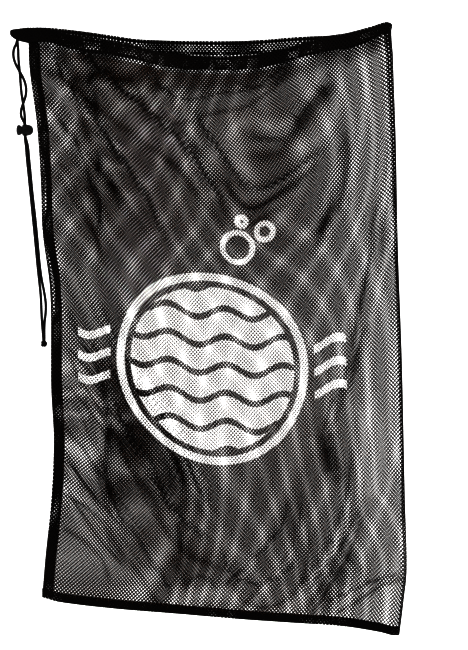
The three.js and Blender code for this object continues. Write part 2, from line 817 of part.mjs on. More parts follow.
// Knot that ties the two ends together, as a round lump
function endKnot() {
  const geometry = new THREE.SphereGeometry(knotDiameter / 2, 12, 8);
  geometry.rotateX(Math.PI / 2);
  return facingOut(mergeVertices(stripped(geometry), 1e-4));
}

function piece(name, geometry, finish) {
  const mesh = new THREE.Mesh(geometry, finish);
  mesh.name = name;
  return mesh;
}

const bag = new THREE.Group();
bag.add(piece('net_front', netPanel(-1), finishes.net));
bag.add(piece('net_back', netPanel(1), finishes.net));
bag.add(piece('side_seam', sideSeam(), finishes.seam));
bag.add(piece('bottom_seam', bottomSeam(), finishes.seam));
bag.add(piece('mouth_hem', mouthHem(), finishes.seam));
bag.add(piece('channel_cord', channelCord(), finishes.cord));
bag.add(piece('cord_strand_front', strand(frontStrandRoute), finishes.cord));
bag.add(piece('cord_strand_back', strand(backStrandRoute), finishes.cord));

const lock = new THREE.Group();
lock.position.set(lockCentre.x, 0, lockCentre.z);
lock.add(piece('cord_lock_barrel', lockBarrel(), finishes.lock));
lock.add(piece('cord_lock_button', lockButton(), finishes.lock));
bag.add(lock);

const knot = piece('end_knot', endKnot(), finishes.cord);
knot.position.set(knotCentre.x, 0, knotCentre.z);
bag.add(knot);

export default bag;
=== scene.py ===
import math

import bmesh
import bpy
import numpy as np
from mathutils import Matrix, Vector


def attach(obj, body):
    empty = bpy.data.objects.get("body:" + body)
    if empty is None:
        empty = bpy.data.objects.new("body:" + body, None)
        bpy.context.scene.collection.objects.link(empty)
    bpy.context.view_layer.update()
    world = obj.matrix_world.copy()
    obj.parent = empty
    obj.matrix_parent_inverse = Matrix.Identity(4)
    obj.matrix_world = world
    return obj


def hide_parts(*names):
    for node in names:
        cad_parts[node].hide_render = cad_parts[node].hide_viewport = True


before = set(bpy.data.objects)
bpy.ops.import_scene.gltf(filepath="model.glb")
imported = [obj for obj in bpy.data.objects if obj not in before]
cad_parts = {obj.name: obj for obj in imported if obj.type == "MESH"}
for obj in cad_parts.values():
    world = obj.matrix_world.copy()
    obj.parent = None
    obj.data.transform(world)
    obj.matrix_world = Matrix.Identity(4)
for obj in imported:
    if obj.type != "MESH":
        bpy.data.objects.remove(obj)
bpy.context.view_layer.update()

MM = 0.001

# Sizes of the bag in millimetres. They follow the imported solids, apart from the lock's barrel, plunger,
# collar and head, which were fitted to the picture
BAG_WIDTH = 480.0
BAG_HEIGHT = 800.0
LEFT_X = -BAG_WIDTH / 2
MOUTH_SAG = 43.0
MOUTH_DEPTH = 36.0
FRONT_MOUTH_SHARE = 0.42
BODY_DEPTH = 27.0
FOLDED_SIDE_DEPTH = 9.0
HEM_HEIGHT = 18.5
HEM_HALF = 3.05
HEM_FOOT_HALF = 1.3
CORNER_RADIUS = 7.0
CORNER_X = -LEFT_X - HEM_HALF - CORNER_RADIUS
FLAT_WIDTH = CORNER_X - LEFT_X
EAR_LENGTH = 24.4
EAR_HALF_SPACING = 3.2
SEAM_HALF = 0.85
SIDE_SEAM_WIDTH = 15.0
BOTTOM_SEAM_HEIGHT = 12.0
FOLD_RISE = 7.0
CORD_DIAMETER = 3.5
LOCK_PLACE = (-244.9, 0.0, -139.5)
LOCK_FIT = 0.3
BARREL_RADIUS = 7.4
BARREL_MOUTH = -3.2
BARREL_END = 10.9
PLUNGER_RADIUS = 4.9
COLLAR_RADIUS = 6.2
HEAD_RADIUS = 6.9
HEAD_LENGTH = 4.4
LOCK_TRAVEL = 3.5
KNOT_PLACE = (-219.9, 0.0, -421.5)
KNOT_STEPS = 48
KNOT_RING = 1.75
KNOT_SWING = 0.85
KNOT_RISE = 2.3
BOTTOM_LEFT_Z = -756.0

# The net's lattice in millimetres: pitch along a row, distance of rows, and hole over pitch
NET_PITCH = 4.7
NET_ROW = 2.54
NET_HOLE = 0.72
NET_WIDTH = FLAT_WIDTH + 8.0
NET_HEIGHT = 745.0
HEM_TUCK = 4.0
SEAM_OPENNESS = 0.62

# The back's lattice is turned against the front's: slip per millimetre, and the front's share of it
SLIP_RISE = -0.112
SLIP_SWING = 0.068
SLIP_ACROSS = 0.35
SLIP_DOWN = 1.8
SWING_LEVEL = 330.0
RISE_START = 170.0
SWAY = 0.8
FRONT_SHARE = -0.38
CREASE_DRAW = 0.4
CREASE_DEPTH = 0.68
EDGE_SPREAD = 1.8
STITCH_PITCH = 3.6
STITCH_HALF_WIDTH = 0.28
STITCH_HALF_LENGTH = 1.3
STITCH_BATCH = 40

# Print on the front in metres from the cloth's left and top edges
PRINT_X = 0.219
PRINT_Z = 0.409
PRINT_BLUR = 0.0007
STROKE_HALF = 0.0055
RING_RADIUS = 0.1245
DISC_RADIUS = 0.111
WAVE_LENGTH = 0.076
WAVE_RISE = 0.0068
BAND_PITCH = 0.038
FLANK_FROM = 0.138
FLANK_TO = 0.182
RIPPLES = (-0.03, 0.0, 0.03)
BUBBLES = ((0.262, 0.243, 0.02), (0.299, 0.222, 0.011), (0.268, 0.208, 0.006))
BUBBLE_HALF = 0.0038

# Camera and lights: metres, watts
SENSOR_WIDTH_MM = 36.0
CAMERA_DISTANCE = 4.0
VIEW_HEIGHT = 0.858
VIEW_X = 0.0310
VIEW_Z = -0.3967
LIGHT_SIZE = 1.6
LIGHT_AIM = (0.0, 0.0, -0.4)
LIGHTS = (("key_light", (-1.2, -2.4, 1.2), 14.0), ("fill_light", (1.8, -2.2, -0.2), 7.0))
ROOM_LIGHT = 1.5
FLOOR_GLOW = 0.35
VIEW_GAMMA = 0.42

# Outline tables: shares of the height or width against shares of the width or height. They are the
# solids' own, with one row more at the ear's root
LEFT_EDGE = [
    (0.0, 0.0), (0.067, 0.002), (0.166, 0.023), (0.265, 0.034), (0.34, 0.038), (0.44, 0.059),
    (0.6, 0.062), (0.685, 0.069), (0.785, 0.062), (0.88, 0.046), (0.945, 0.037),
]
RIGHT_EDGE = [
    (0.0, 0.001), (0.042, -0.001), (0.19, 0.007), (0.37, 0.013), (0.56, 0.024),
    (0.78, 0.032), (0.9, 0.037), (0.955, 0.028), (1.008, 0.017),
]
BOTTOM_EDGE = [
    (0.0, 0.945), (0.05, 0.953), (0.21, 0.964), (0.4, 0.973), (0.56, 0.981),
    (0.71, 0.987), (0.86, 0.993), (0.96, 1.002), (1.0, 1.008),
]
HEM_FRONT = [
    (0.0, 0.1), (0.05, 0.12), (0.13, 0.37), (0.215, 0.51), (0.292, 0.66), (0.358, 0.86),
    (0.427, 0.96), (0.504, 1.0), (0.58, 0.99), (0.652, 0.9), (0.731, 0.67), (0.819, 0.38),
    (0.874, 0.28), (0.94, 0.08), (0.981, -0.06), (1.0, -0.02),
]
HEM_BACK = [
    (0.0, 0.1), (0.05, 0.08), (0.13, 0.16), (0.215, 0.28), (0.292, 0.4), (0.358, 0.44),
    (0.427, 0.455), (0.504, 0.463), (0.58, 0.46), (0.652, 0.42), (0.731, 0.35), (0.819, 0.31),
    (0.874, 0.28), (0.94, 0.08), (0.981, -0.06), (1.0, -0.02),
]
HEM_TALL = [
    (0.0, 1.09), (0.05, 1.02), (0.13, 1.0), (0.731, 1.0), (0.819, 1.05), (0.874, 1.05),
    (0.94, 0.93), (0.981, 0.75), (1.0, 0.66),
]
EAR_DROP = [(0.0, 0.22), (0.14, 0.24), (0.36, 0.28), (0.61, 0.32), (0.82, 0.36), (0.95, 0.41), (1.0, 0.47)]
EAR_TALL = [(0.0, 1.09), (0.14, 1.03), (0.36, 0.92), (0.61, 0.8), (0.82, 0.6), (0.95, 0.42), (1.0, 0.26)]

# Folds: start, middle and end in shares of width and height, rise as a share of the fold rise, width
FRONT_FOLDS = [
    (0.02, 0.05, 0.14, 0.22, 0.33, 0.44, -0.8, 0.05),
    (0.06, 0.06, 0.24, 0.2, 0.42, 0.4, 0.7, 0.055),
    (0.12, 0.08, 0.36, 0.17, 0.6, 0.3, -0.9, 0.045),
    (0.6, 0.3, 0.76, 0.22, 0.92, 0.06, -0.7, 0.05),
    (0.3, 0.1, 0.52, 0.17, 0.8, 0.11, 0.6, 0.05),
    (0.03, 0.12, 0.08, 0.3, 0.15, 0.42, 0.8, 0.04),
    (0.08, 0.44, 0.16, 0.57, 0.22, 0.72, 0.9, 0.035),
    (0.15, 0.45, 0.25, 0.62, 0.34, 0.82, -1.0, 0.07),
    (0.07, 0.6, 0.19, 0.75, 0.28, 0.93, 0.8, 0.04),
    (0.34, 0.55, 0.42, 0.72, 0.53, 0.86, 0.7, 0.05),
    (0.95, 0.72, 0.86, 0.84, 0.7, 0.93, 0.8, 0.035),
    (0.84, 0.5, 0.8, 0.68, 0.66, 0.84, -0.8, 0.06),
    (1.0, 0.9, 0.88, 0.93, 0.74, 0.95, 0.5, 0.025),
]
BACK_FOLDS = [
    (0.03, 0.06, 0.2, 0.26, 0.44, 0.46, 0.8, 0.06),
    (0.95, 0.06, 0.76, 0.2, 0.58, 0.4, 0.7, 0.06),
    (0.2, 0.12, 0.5, 0.26, 0.84, 0.13, -0.7, 0.06),
    (0.08, 0.4, 0.26, 0.62, 0.48, 0.84, -0.8, 0.06),
    (0.92, 0.38, 0.8, 0.62, 0.6, 0.86, 0.8, 0.06),
    (0.3, 0.5, 0.5, 0.66, 0.66, 0.7, -0.5, 0.07),
]

# Lines that close the holes of both nets, or open them where the share is below 0: share of each hole,
# half-width in millimetres, and the line's points in shares of the net's width and height
CREASES = [
    (0.5, 5.28, [(0.085, 0), (0.162, 0.05), (0.264, 0.1), (0.396, 0.16), (0.467, 0.23), (0.508, 0.269)]),
    (0.4, 9.24, [(0.129, 0.018), (0.162, 0.05), (0.191, 0.075)]),
    (0.45, 4.62, [(0.024, 0.013), (0.082, 0.094), (0.139, 0.143), (0.217, 0.208),
        (0.285, 0.273), (0.347, 0.353)]),
    (0.45, 5.94, [(0.15, 0.059), (0.155, 0.109), (0.178, 0.175), (0.234, 0.228)]),
    (0.45, 4.62, [(0.437, 0.096), (0.493, 0.163), (0.56, 0.228), (0.596, 0.241),
        (0.688, 0.22), (0.782, 0.191)]),
    (0.3, 3.96, [(0.507, 0.214), (0.528, 0.251), (0.561, 0.274), (0.632, 0.261), (0.721, 0.238)]),
    (0.4, 7.92, [(0.848, 0.058), (0.795, 0.089), (0.735, 0.126), (0.688, 0.153),
        (0.626, 0.15), (0.582, 0.144)]),
    (0.35, 3.3, [(0.298, 0.054), (0.364, 0.069), (0.42, 0.082), (0.516, 0.066),
        (0.614, 0.06), (0.715, 0.03), (0.761, 0.018)]),
    (0.3, 2.9, [(0.586, 0.009), (0.626, 0.026), (0.676, 0.031), (0.745, 0.013)]),
    (0.3, 3.3, [(0.322, 0.018), (0.334, 0.048), (0.381, 0.082)]),
    (0.4, 3.96, [(0.054, 0.165), (0.095, 0.199), (0.132, 0.255), (0.16, 0.307), (0.153, 0.358)]),
    (0.35, 9.24, [(0.147, 0.207), (0.161, 0.231), (0.171, 0.259)]),
    (0.3, 3.96, [(0.065, 0.19), (0.118, 0.254), (0.15, 0.295), (0.177, 0.37)]),
    (0.3, 7.92, [(0.176, 0.262), (0.201, 0.28), (0.225, 0.301)]),
    (0.3, 6.6, [(0.855, 0.156), (0.855, 0.204), (0.835, 0.285)]),
    (0.35, 9.24, [(0.801, 0.279), (0.786, 0.307), (0.773, 0.333)]),
    (0.3, 3.3, [(0.935, 0.276), (0.92, 0.351), (0.879, 0.461), (0.853, 0.521)]),
    (0.2, 2.64, [(0.976, 0.156), (0.964, 0.254), (0.95, 0.375)]),
    (0.4, 11.9, [(0.151, 0.019), (0.228, 0.015), (0.32, 0.011)]),
    (0.5, 3.3, [(0.044, 0.507), (0.075, 0.552), (0.119, 0.597), (0.156, 0.655)]),
    (0.4, 2.64, [(0.032, 0.573), (0.063, 0.584), (0.129, 0.636), (0.16, 0.678)]),
    (0.45, 5.28, [(0.149, 0.623), (0.16, 0.727), (0.168, 0.816), (0.221, 0.886)]),
    (0.35, 5.28, [(0.113, 0.484), (0.192, 0.556), (0.275, 0.622), (0.357, 0.712),
        (0.422, 0.79), (0.461, 0.832)]),
    (0.45, 5.28, [(0.151, 0.635), (0.219, 0.706), (0.278, 0.756), (0.324, 0.818),
        (0.382, 0.856), (0.468, 0.883)]),
    (0.24, 17.2, [(0.19, 0.611), (0.22, 0.668), (0.186, 0.737), (0.183, 0.792)]),
    (0.26, 18.5, [(0.158, 0.529), (0.219, 0.605), (0.293, 0.699), (0.4, 0.8)]),
    (0.34, 2.6, [(0.14, 0.48), (0.2, 0.565), (0.31, 0.66), (0.41, 0.745), (0.47, 0.8)]),
    (0.34, 2.6, [(0.09, 0.53), (0.15, 0.62), (0.2, 0.69), (0.26, 0.76), (0.34, 0.84)]),
    (0.3, 2.4, [(0.19, 0.5), (0.27, 0.595), (0.35, 0.665), (0.44, 0.76)]),
    (0.3, 2.4, [(0.06, 0.6), (0.1, 0.67), (0.13, 0.74), (0.2, 0.83), (0.29, 0.9)]),
    (0.35, 2.64, [(0.024, 0.708), (0.083, 0.743), (0.155, 0.796)]),
    (0.4, 2.64, [(0.032, 0.752), (0.086, 0.8), (0.21, 0.885)]),
    (0.35, 3.3, [(0.032, 0.829), (0.11, 0.852), (0.156, 0.88), (0.177, 0.918)]),
    (0.35, 3.96, [(0.225, 0.87), (0.284, 0.923), (0.361, 0.986)]),
    (0.3, 7.92, [(0.348, 0.859), (0.364, 0.885), (0.383, 0.913)]),
    (0.3, 3.3, [(0.402, 0.982), (0.419, 0.957), (0.452, 0.951), (0.493, 0.971)]),
    (0.3, 3.3, [(0.491, 0.98), (0.537, 0.941), (0.607, 0.887), (0.661, 0.835), (0.669, 0.79)]),
    (0.35, 3.3, [(0.488, 0.896), (0.534, 0.942), (0.608, 0.949), (0.676, 0.92),
        (0.704, 0.853), (0.708, 0.781)]),
    (0.35, 3.96, [(0.906, 0.484), (0.86, 0.549), (0.812, 0.613), (0.769, 0.675)]),
    (0.4, 10.6, [(0.769, 0.675), (0.785, 0.707), (0.802, 0.743)]),
    (0.35, 3.96, [(0.854, 0.703), (0.838, 0.778), (0.779, 0.875), (0.706, 0.957)]),
    (0.4, 2.9, [(0.872, 0.795), (0.818, 0.865), (0.76, 0.925), (0.719, 0.97)]),
    (0.4, 2.9, [(0.983, 0.904), (0.921, 0.918), (0.839, 0.951), (0.783, 0.97)]),
    (0.25, 10.6, [(0.857, 0.882), (0.814, 0.911), (0.761, 0.969)]),
    (-0.14, 6.6, [(0.052, 0.009), (0.089, 0.035), (0.116, 0.067), (0.132, 0.1)]),
    (-0.14, 6.6, [(0.051, 0.07), (0.071, 0.11), (0.106, 0.14), (0.151, 0.163)]),
    (-0.14, 3.96, [(0.32, 0.091), (0.393, 0.118), (0.465, 0.17), (0.501, 0.222)]),
    (-0.14, 15.8, [(0.52, 0.148), (0.553, 0.112), (0.609, 0.087)]),
    (-0.12, 7.92, [(0.065, 0.598), (0.108, 0.647), (0.141, 0.705)]),
    (-0.16, 5.94, [(0.044, 0.672), (0.09, 0.715), (0.144, 0.762)]),
    (-0.16, 5.94, [(0.039, 0.773), (0.108, 0.839), (0.177, 0.893)]),
    (-0.14, 3.96, [(0.855, 0.813), (0.796, 0.88), (0.734, 0.938)]),
    (-0.1, 17.2, [(0.869, 0.608), (0.912, 0.677), (0.887, 0.781)]),
]

# Places where a face's lattice is turned: across and down in shares, reach in millimetres, turn
FRONT_TURNS = [(0.64, 0.14, 115.0, -0.13), (0.1, 0.7, 90.0, 0.075)]
BACK_TURNS = [(0.64, 0.14, 115.0, -0.045), (0.1, 0.7, 90.0, 0.075)]

# Where the painted shade sheet is darker: share, reach in millimetres, points in shares of the net
SHADE_PATCHES = [
    (0.45, 62.0, [(0.28, 0.06), (0.26, 0.2), (0.36, 0.33)]),
    (0.34, 60.0, [(0.62, 0.06), (0.62, 0.2), (0.6, 0.34)]),
    (0.5, 26.0, [(0.12, 0.02), (0.24, 0.02), (0.36, 0.03)]),
    (0.3, 30.0, [(0.08, 0.2), (0.13, 0.29), (0.14, 0.38)]),
    (0.36, 36.0, [(0.15, 0.52), (0.22, 0.64), (0.27, 0.76)]),
    (0.4, 44.0, [(0.26, 0.84), (0.36, 0.88), (0.46, 0.9)]),
    (0.2, 60.0, [(0.6, 0.84), (0.7, 0.74), (0.76, 0.62)]),
    (0.45, 11.0, [(0.28, 0.012), (0.5, 0.02), (0.68, 0.008)]),
]

# Free ends of the drawcord, from the ear down into the knot, in millimetres. They were moved off the
# solids' routes by up to 2.6 mm to fit the picture
FRONT_STRAND = [
    (-255.2, -3.2, -21.2), (-255.6, -3.3, -25.5), (-259.2, -3.5, -31.5), (-260.4, -3.6, -40),
    (-258.4, -3.4, -50), (-252.6, -3.2, -61), (-246.2, -3.2, -72), (-242.9, -3, -83),
    (-243.4, -2.8, -94), (-247, -2.6, -104), (-250.3, -2.5, -114), (-249.9, -2.3, -122),
    (-246.8, -2, -127.5), (-244.9, -1.9, -131.5), (-244.9, -1.9, -139.5), (-244.9, -1.9, -147.5),
    (-244.4, -1.9, -153), (-243.2, -1.7, -162), (-242.3, -1.4, -176), (-240.4, -1.2, -194),
    (-238.4, -1.2, -214), (-236.3, -1.3, -234), (-234.4, -1.4, -254), (-232.3, -1.5, -274),
    (-230.2, -1.6, -296), (-228.2, -1.7, -318), (-226, -1.7, -338), (-223.8, -1.7, -358),
    (-223.2, -1.7, -376), (-222.4, -1.6, -392), (-221.2, -1.75, -406), (-220.4, -1.5, -416),
    (-219.9, -0.8, -423),
]
BACK_STRAND = [
    (-255.2, 3.2, -21.2), (-254.8, 3.2, -25.5), (-254, 2.9, -33), (-253.9, 2.4, -43),
    (-252.8, 1.6, -54), (-251.6, 1, -66), (-250.6, 0.9, -80), (-249.4, 1.1, -93),
    (-247.4, 1.5, -105), (-245.9, 1.9, -115), (-245.2, 2, -123), (-244.9, 1.9, -131.5),
    (-244.9, 1.9, -139.5), (-244.9, 1.9, -147.5), (-243, 1.8, -153), (-240.9, 1.7, -162),
    (-239.8, 1.5, -176), (-237.9, 1.4, -194), (-236.1, 1.3, -214), (-234, 1.2, -234),
    (-231.6, 1.1, -254), (-229.6, 1.1, -274), (-227.6, 1.2, -296), (-225.6, 1.3, -318),
    (-223.2, 1.4, -336), (-219.8, 1.6, -352), (-217.3, 1.8, -368), (-217.6, 1.8, -381),
    (-219.4, 1.7, -394), (-219.6, 1.75, -406), (-219.4, 1.5, -416), (-219.9, 0.8, -423),
]


def add_object(name, data):
    """A new object of the scene, at the origin"""
    piece = bpy.data.objects.new(name, data)
    bpy.context.scene.collection.objects.link(piece)
    return piece


def mesh_from(bm, name):
    """A mesh made of a bmesh, which is freed"""
    mesh = bpy.data.meshes.new(name)
    bm.to_mesh(mesh)
    bm.free()
    return mesh


# Camera, straight on as in the photograph, with a long lens
def make_camera():
    data = bpy.data.cameras.new("front_camera")
    camera = add_object("front_camera", data)
    data.sensor_width = SENSOR_WIDTH_MM
    data.lens = SENSOR_WIDTH_MM * CAMERA_DISTANCE / VIEW_HEIGHT
    data.clip_end = 60.0
    camera.location = (VIEW_X, -CAMERA_DISTANCE, VIEW_Z)
    camera.rotation_euler = (math.pi / 2, 0.0, 0.0)
    bpy.context.scene.camera = camera


make_camera()


# Shader helpers


def new_group(name, inputs, outputs):
    """An empty node group with named float, vector or colour sockets"""
    group = bpy.data.node_groups.new(name, "ShaderNodeTree")
    for label, kind, value in inputs:
        socket = group.interface.new_socket(label, in_out="INPUT", socket_type=kind)
        if value is not None:
            socket.default_value = value
    for label, kind in outputs:
        group.interface.new_socket(label, in_out="OUTPUT", socket_type=kind)
    return group, group.nodes.new("NodeGroupInput"), group.nodes.new("NodeGroupOutput")


def maths(tree, kind, first, second=None, third=None, clamp=False):
    """A Math node fed by sockets or numbers"""
    node = tree.nodes.new("ShaderNodeMath")
    node.operation = kind
    node.use_clamp = clamp
    for slot_number, value in enumerate((first, second, third)):
        if value is None:
            continue
        if isinstance(value, (int, float)):
            node.inputs[slot_number].default_value = value
        else:
            tree.links.new(value, node.inputs[slot_number])
    return node.outputs[0]


def ramped(tree, value, low, high):
    """Smooth step of a value from 0 at low to 1 at high"""
    node = tree.nodes.new("ShaderNodeMapRange")
    node.interpolation_type = "SMOOTHSTEP"
    node.inputs["From Min"].default_value = low
    node.inputs["From Max"].default_value = high
    tree.links.new(value, node.inputs["Value"])
    return node.outputs["Result"]


def noise(tree, vector, scale, detail):
    node = tree.nodes.new("ShaderNodeTexNoise")
    node.inputs["Scale"].default_value = scale
    node.inputs["Detail"].default_value = detail
    tree.links.new(vector, node.inputs["Vector"])
    return node.outputs["Fac"]


def between(tree, share, first, second):
    """A colour between two colours or colour sockets"""
    node = tree.nodes.new("ShaderNodeMix")
    node.data_type = "RGBA"
    tree.links.new(share, node.inputs["Factor"])
    for socket, value in ((node.inputs["A"], first), (node.inputs["B"], second)):
        if isinstance(value, tuple):
            socket.default_value = (*value, 1.0)
        else:
            tree.links.new(value, socket)
    return node.outputs["Result"]


def uv_of(tree, name):
    node = tree.nodes.new("ShaderNodeUVMap")
    node.uv_map = name
    return node.outputs["UV"]


def object_places(tree):
    return tree.nodes.new("ShaderNodeTexCoord").outputs["Object"]


def split(tree, vector):
    node = tree.nodes.new("ShaderNodeSeparateXYZ")
    tree.links.new(vector, node.inputs[0])
    return node.outputs


def new_material(name, colour, roughness, specular):
    material = bpy.data.materials.new(name)
    material.use_nodes = True
    shader = material.node_tree.nodes["Principled BSDF"]
    shader.inputs["Base Color"].default_value = (*colour, 1.0)
    shader.inputs["Roughness"].default_value = roughness
    shader.inputs["Specular IOR Level"].default_value = specular
    material.diffuse_color = (*colour, 1.0)
    return material, material.node_tree, shader


def add_bump(tree, shader, height, distance):
    bump = tree.nodes.new("ShaderNodeBump")
    bump.inputs["Distance"].default_value = distance
    bump.inputs["Strength"].default_value = 1.0
    tree.links.new(height, bump.inputs["Height"])
    tree.links.new(bump.outputs["Normal"], shader.inputs["Normal"])


def knitted_yarn_group():
    """Round strands on the lattice with loops along them, from lattice places"""
    group, given, result = new_group(
        "knitted_yarn",
        [("Lattice", "NodeSocketVector", None), ("Loops", "NodeSocketFloat", 7.0)],
        [("Height", "NodeSocketFloat"), ("Loop", "NodeSocketFloat"), ("Fibre", "NodeSocketFloat")],
    )
    u, v, _ = split(group, given.outputs["Lattice"])
    rounds = []
    for along in (u, v):
        place = maths(group, "FRACT", along)
        off = maths(group, "ABSOLUTE", maths(group, "SUBTRACT", place, 0.5))
        rounds.append(maths(group, "SUBTRACT", 1.0, ramped(group, off, 0.0, 0.22)))
    strand = maths(group, "MAXIMUM", rounds[0], rounds[1])
    both = maths(group, "ADD", u, v)
    apart = maths(group, "SUBTRACT", u, v)
    turns = maths(group, "MULTIPLY", given.outputs["Loops"], 2 * math.pi)
    wave_a = maths(group, "SINE", maths(group, "MULTIPLY", both, turns))
    wave_b = maths(group, "SINE", maths(group, "MULTIPLY", apart, turns))
    loops = maths(group, "MULTIPLY_ADD", maths(group, "MAXIMUM", wave_a, wave_b), 0.5, 0.5)
    fibre = noise(group, given.outputs["Lattice"], 18.0, 3.0)
    height = maths(group, "MULTIPLY_ADD", loops, 0.25, strand)
    height = maths(group, "MULTIPLY_ADD", fibre, 0.2, height)
    group.links.new(height, result.inputs["Height"])
    group.links.new(loops, result.inputs["Loop"])
    group.links.new(fibre, result.inputs["Fibre"])
    return group


YARN = knitted_yarn_group()


def printed_mask(tree, cloth):
    """Ink of a plain round sea sign: wave bands in a ringed disc, bubbles above, ripples at both sides"""
    x, z, _ = split(tree, cloth)
    across = maths(tree, "SUBTRACT", x, PRINT_X)
    down = maths(tree, "SUBTRACT", z, PRINT_Z)

    def reach_from(place_x, place_z):
        gap_x = maths(tree, "SUBTRACT", x, place_x)
        gap_z = maths(tree, "SUBTRACT", z, place_z)
        square_x = maths(tree, "MULTIPLY", gap_x, gap_x)
        square_z = maths(tree, "MULTIPLY", gap_z, gap_z)
        return maths(tree, "SQRT", maths(tree, "ADD", square_x, square_z))

    def beyond(value, limit):
        return ramped(tree, value, limit - PRINT_BLUR, limit + PRINT_BLUR)

    def within(value, limit):
        return maths(tree, "SUBTRACT", 1.0, beyond(value, limit))

    def band_about(value, middle, half):
        off = maths(tree, "ABSOLUTE", maths(tree, "SUBTRACT", value, middle))
        return within(off, half)

    reach = reach_from(PRINT_X, PRINT_Z)
    ring = band_about(reach, RING_RADIUS, STROKE_HALF)
    swell = maths(tree, "SINE", maths(tree, "MULTIPLY", across, 2 * math.pi / WAVE_LENGTH))
    level = maths(tree, "ADD", down, maths(tree, "MULTIPLY", swell, WAVE_RISE))
    place = maths(tree, "FRACT", maths(tree, "MULTIPLY_ADD", level, 1 / BAND_PITCH, 0.5))
    stripes = ramped(tree, maths(tree, "ABSOLUTE", maths(tree, "SUBTRACT", place, 0.5)), 0.1, 0.13)
    ink = maths(tree, "MAXIMUM", ring, maths(tree, "MULTIPLY", within(reach, DISC_RADIUS), stripes))
    outside = maths(tree, "ABSOLUTE", across)
    flank = maths(tree, "MULTIPLY", beyond(outside, FLANK_FROM), within(outside, FLANK_TO))
    for ripple in RIPPLES:
        stroke = band_about(level, ripple, STROKE_HALF)
        ink = maths(tree, "MAXIMUM", ink, maths(tree, "MULTIPLY", stroke, flank))
    for place_x, place_z, size in BUBBLES:
        bubble = band_about(reach_from(place_x, place_z), size, BUBBLE_HALF)
        ink = maths(tree, "MAXIMUM", ink, bubble)
    return ink


def net_material(name, printed):
    material, tree, shader = new_material(name, (0.022, 0.019, 0.017), 0.85, 0.1)
    lattice = uv_of(tree, "lattice")
    yarn = tree.nodes.new("ShaderNodeGroup")
    yarn.node_tree = YARN
    tree.links.new(lattice, yarn.inputs["Lattice"])
    cloth = uv_of(tree, "cloth")
    patches = noise(tree, cloth, 9.0, 2.0)
    shade = maths(tree, "MULTIPLY", yarn.outputs["Fibre"], patches)
    colour = between(tree, ramped(tree, shade, 0.1, 0.45), (0.012, 0.0095, 0.0085), (0.034, 0.028, 0.025))
    if printed:
        ink = printed_mask(tree, cloth)
        speck = ramped(tree, yarn.outputs["Fibre"], 0.26, 0.42)
        ink = maths(tree, "MULTIPLY", ink, maths(tree, "MULTIPLY_ADD", speck, 0.25, 0.75))
        white = between(tree, patches, (0.74, 0.74, 0.735), (0.84, 0.84, 0.835))
        colour = between(tree, ink, colour, white)
    tree.links.new(colour, shader.inputs["Base Color"])
    rough = maths(tree, "MULTIPLY_ADD", yarn.outputs["Loop"], -0.1, 0.88)
    tree.links.new(rough, shader.inputs["Roughness"])
    add_bump(tree, shader, yarn.outputs["Height"], 0.0003)
    return material


# Tables and surface of the hanging bag


def column(rows, place):
    """Smooth value of a table of pairs at places in its first column"""
    table = np.array(rows, float)
    keys = table[:, 0]
    values = table[:, 1]
    last = len(keys) - 1
    at = np.clip(place, keys[0], keys[-1])
    i = np.clip(np.searchsorted(keys, at, side="left") - 1, 0, last - 1)
    before = np.maximum(i - 1, 0)
    after = np.minimum(i + 2, last)
    step = keys[i + 1] - keys[i]
    t = (at - keys[i]) / step
    slope_from = (values[i + 1] - values[before]) / (keys[i + 1] - keys[before])
    slope_to = (values[after] - values[i]) / (keys[after] - keys[i])
    near = values[i] * (2 * t**3 - 3 * t**2 + 1) + values[i + 1] * (3 * t**2 - 2 * t**3)
    return near + step * (slope_from * (t**3 - 2 * t**2 + t) + slope_to * (t**3 - t**2))


def smooth(value, low, high):
    t = np.clip((value - low) / (high - low), 0.0, 1.0)
    return t * t * (3 - 2 * t)


def mix(first, second, share):
    return first + (second - first) * share


def left_edge(z):
    return LEFT_X + BAG_WIDTH * column(LEFT_EDGE, -z / BAG_HEIGHT)


def right_edge(z):
    return -LEFT_X + BAG_WIDTH * column(RIGHT_EDGE, -z / BAG_HEIGHT)


def bottom_edge(across):
    return -BAG_HEIGHT * column(BOTTOM_EDGE, across)


def hem_top(face, across):
    return -MOUTH_SAG * column(HEM_FRONT if face < 0 else HEM_BACK, across)


def hem_tall(across):
    return HEM_HEIGHT * column(HEM_TALL, across)


def bow(share):
    return np.sin(np.pi * np.clip(share, 0.0, 1.0)) ** 0.85


def hem_half_depth(face, share):
    edge = mix(EAR_HALF_SPACING, CORNER_RADIUS, smooth(share, 0.0, 1.0))
    middle = MOUTH_DEPTH * (FRONT_MOUTH_SHARE if face < 0 else 1 - FRONT_MOUTH_SHARE)
    return edge + (middle - edge) * bow(share)


def ridge_field(rows, across, down):
    """Sum of the folds: rise times a bell across each curved line"""
    shape = BAG_HEIGHT / BAG_WIDTH
    total = np.zeros_like(across)
    for x0, z0, x1, z1, x2, z2, rise, width in rows:
        nearest = np.full_like(across, 9.0)
        along = np.zeros_like(across)
        for t in np.linspace(0.0, 1.0, 15):
            x = (1 - t) ** 2 * x0 + 2 * t * (1 - t) * x1 + t**2 * x2
            z = (1 - t) ** 2 * z0 + 2 * t * (1 - t) * z1 + t**2 * z2
            distance = np.hypot(x - across, (z - down) * shape)
            closer = distance < nearest
            nearest = np.where(closer, distance, nearest)
            along = np.where(closer, t, along)
        total += rise * np.sin(np.pi * (0.08 + 0.84 * along)) * np.exp(-((nearest / width) ** 2))
    return total


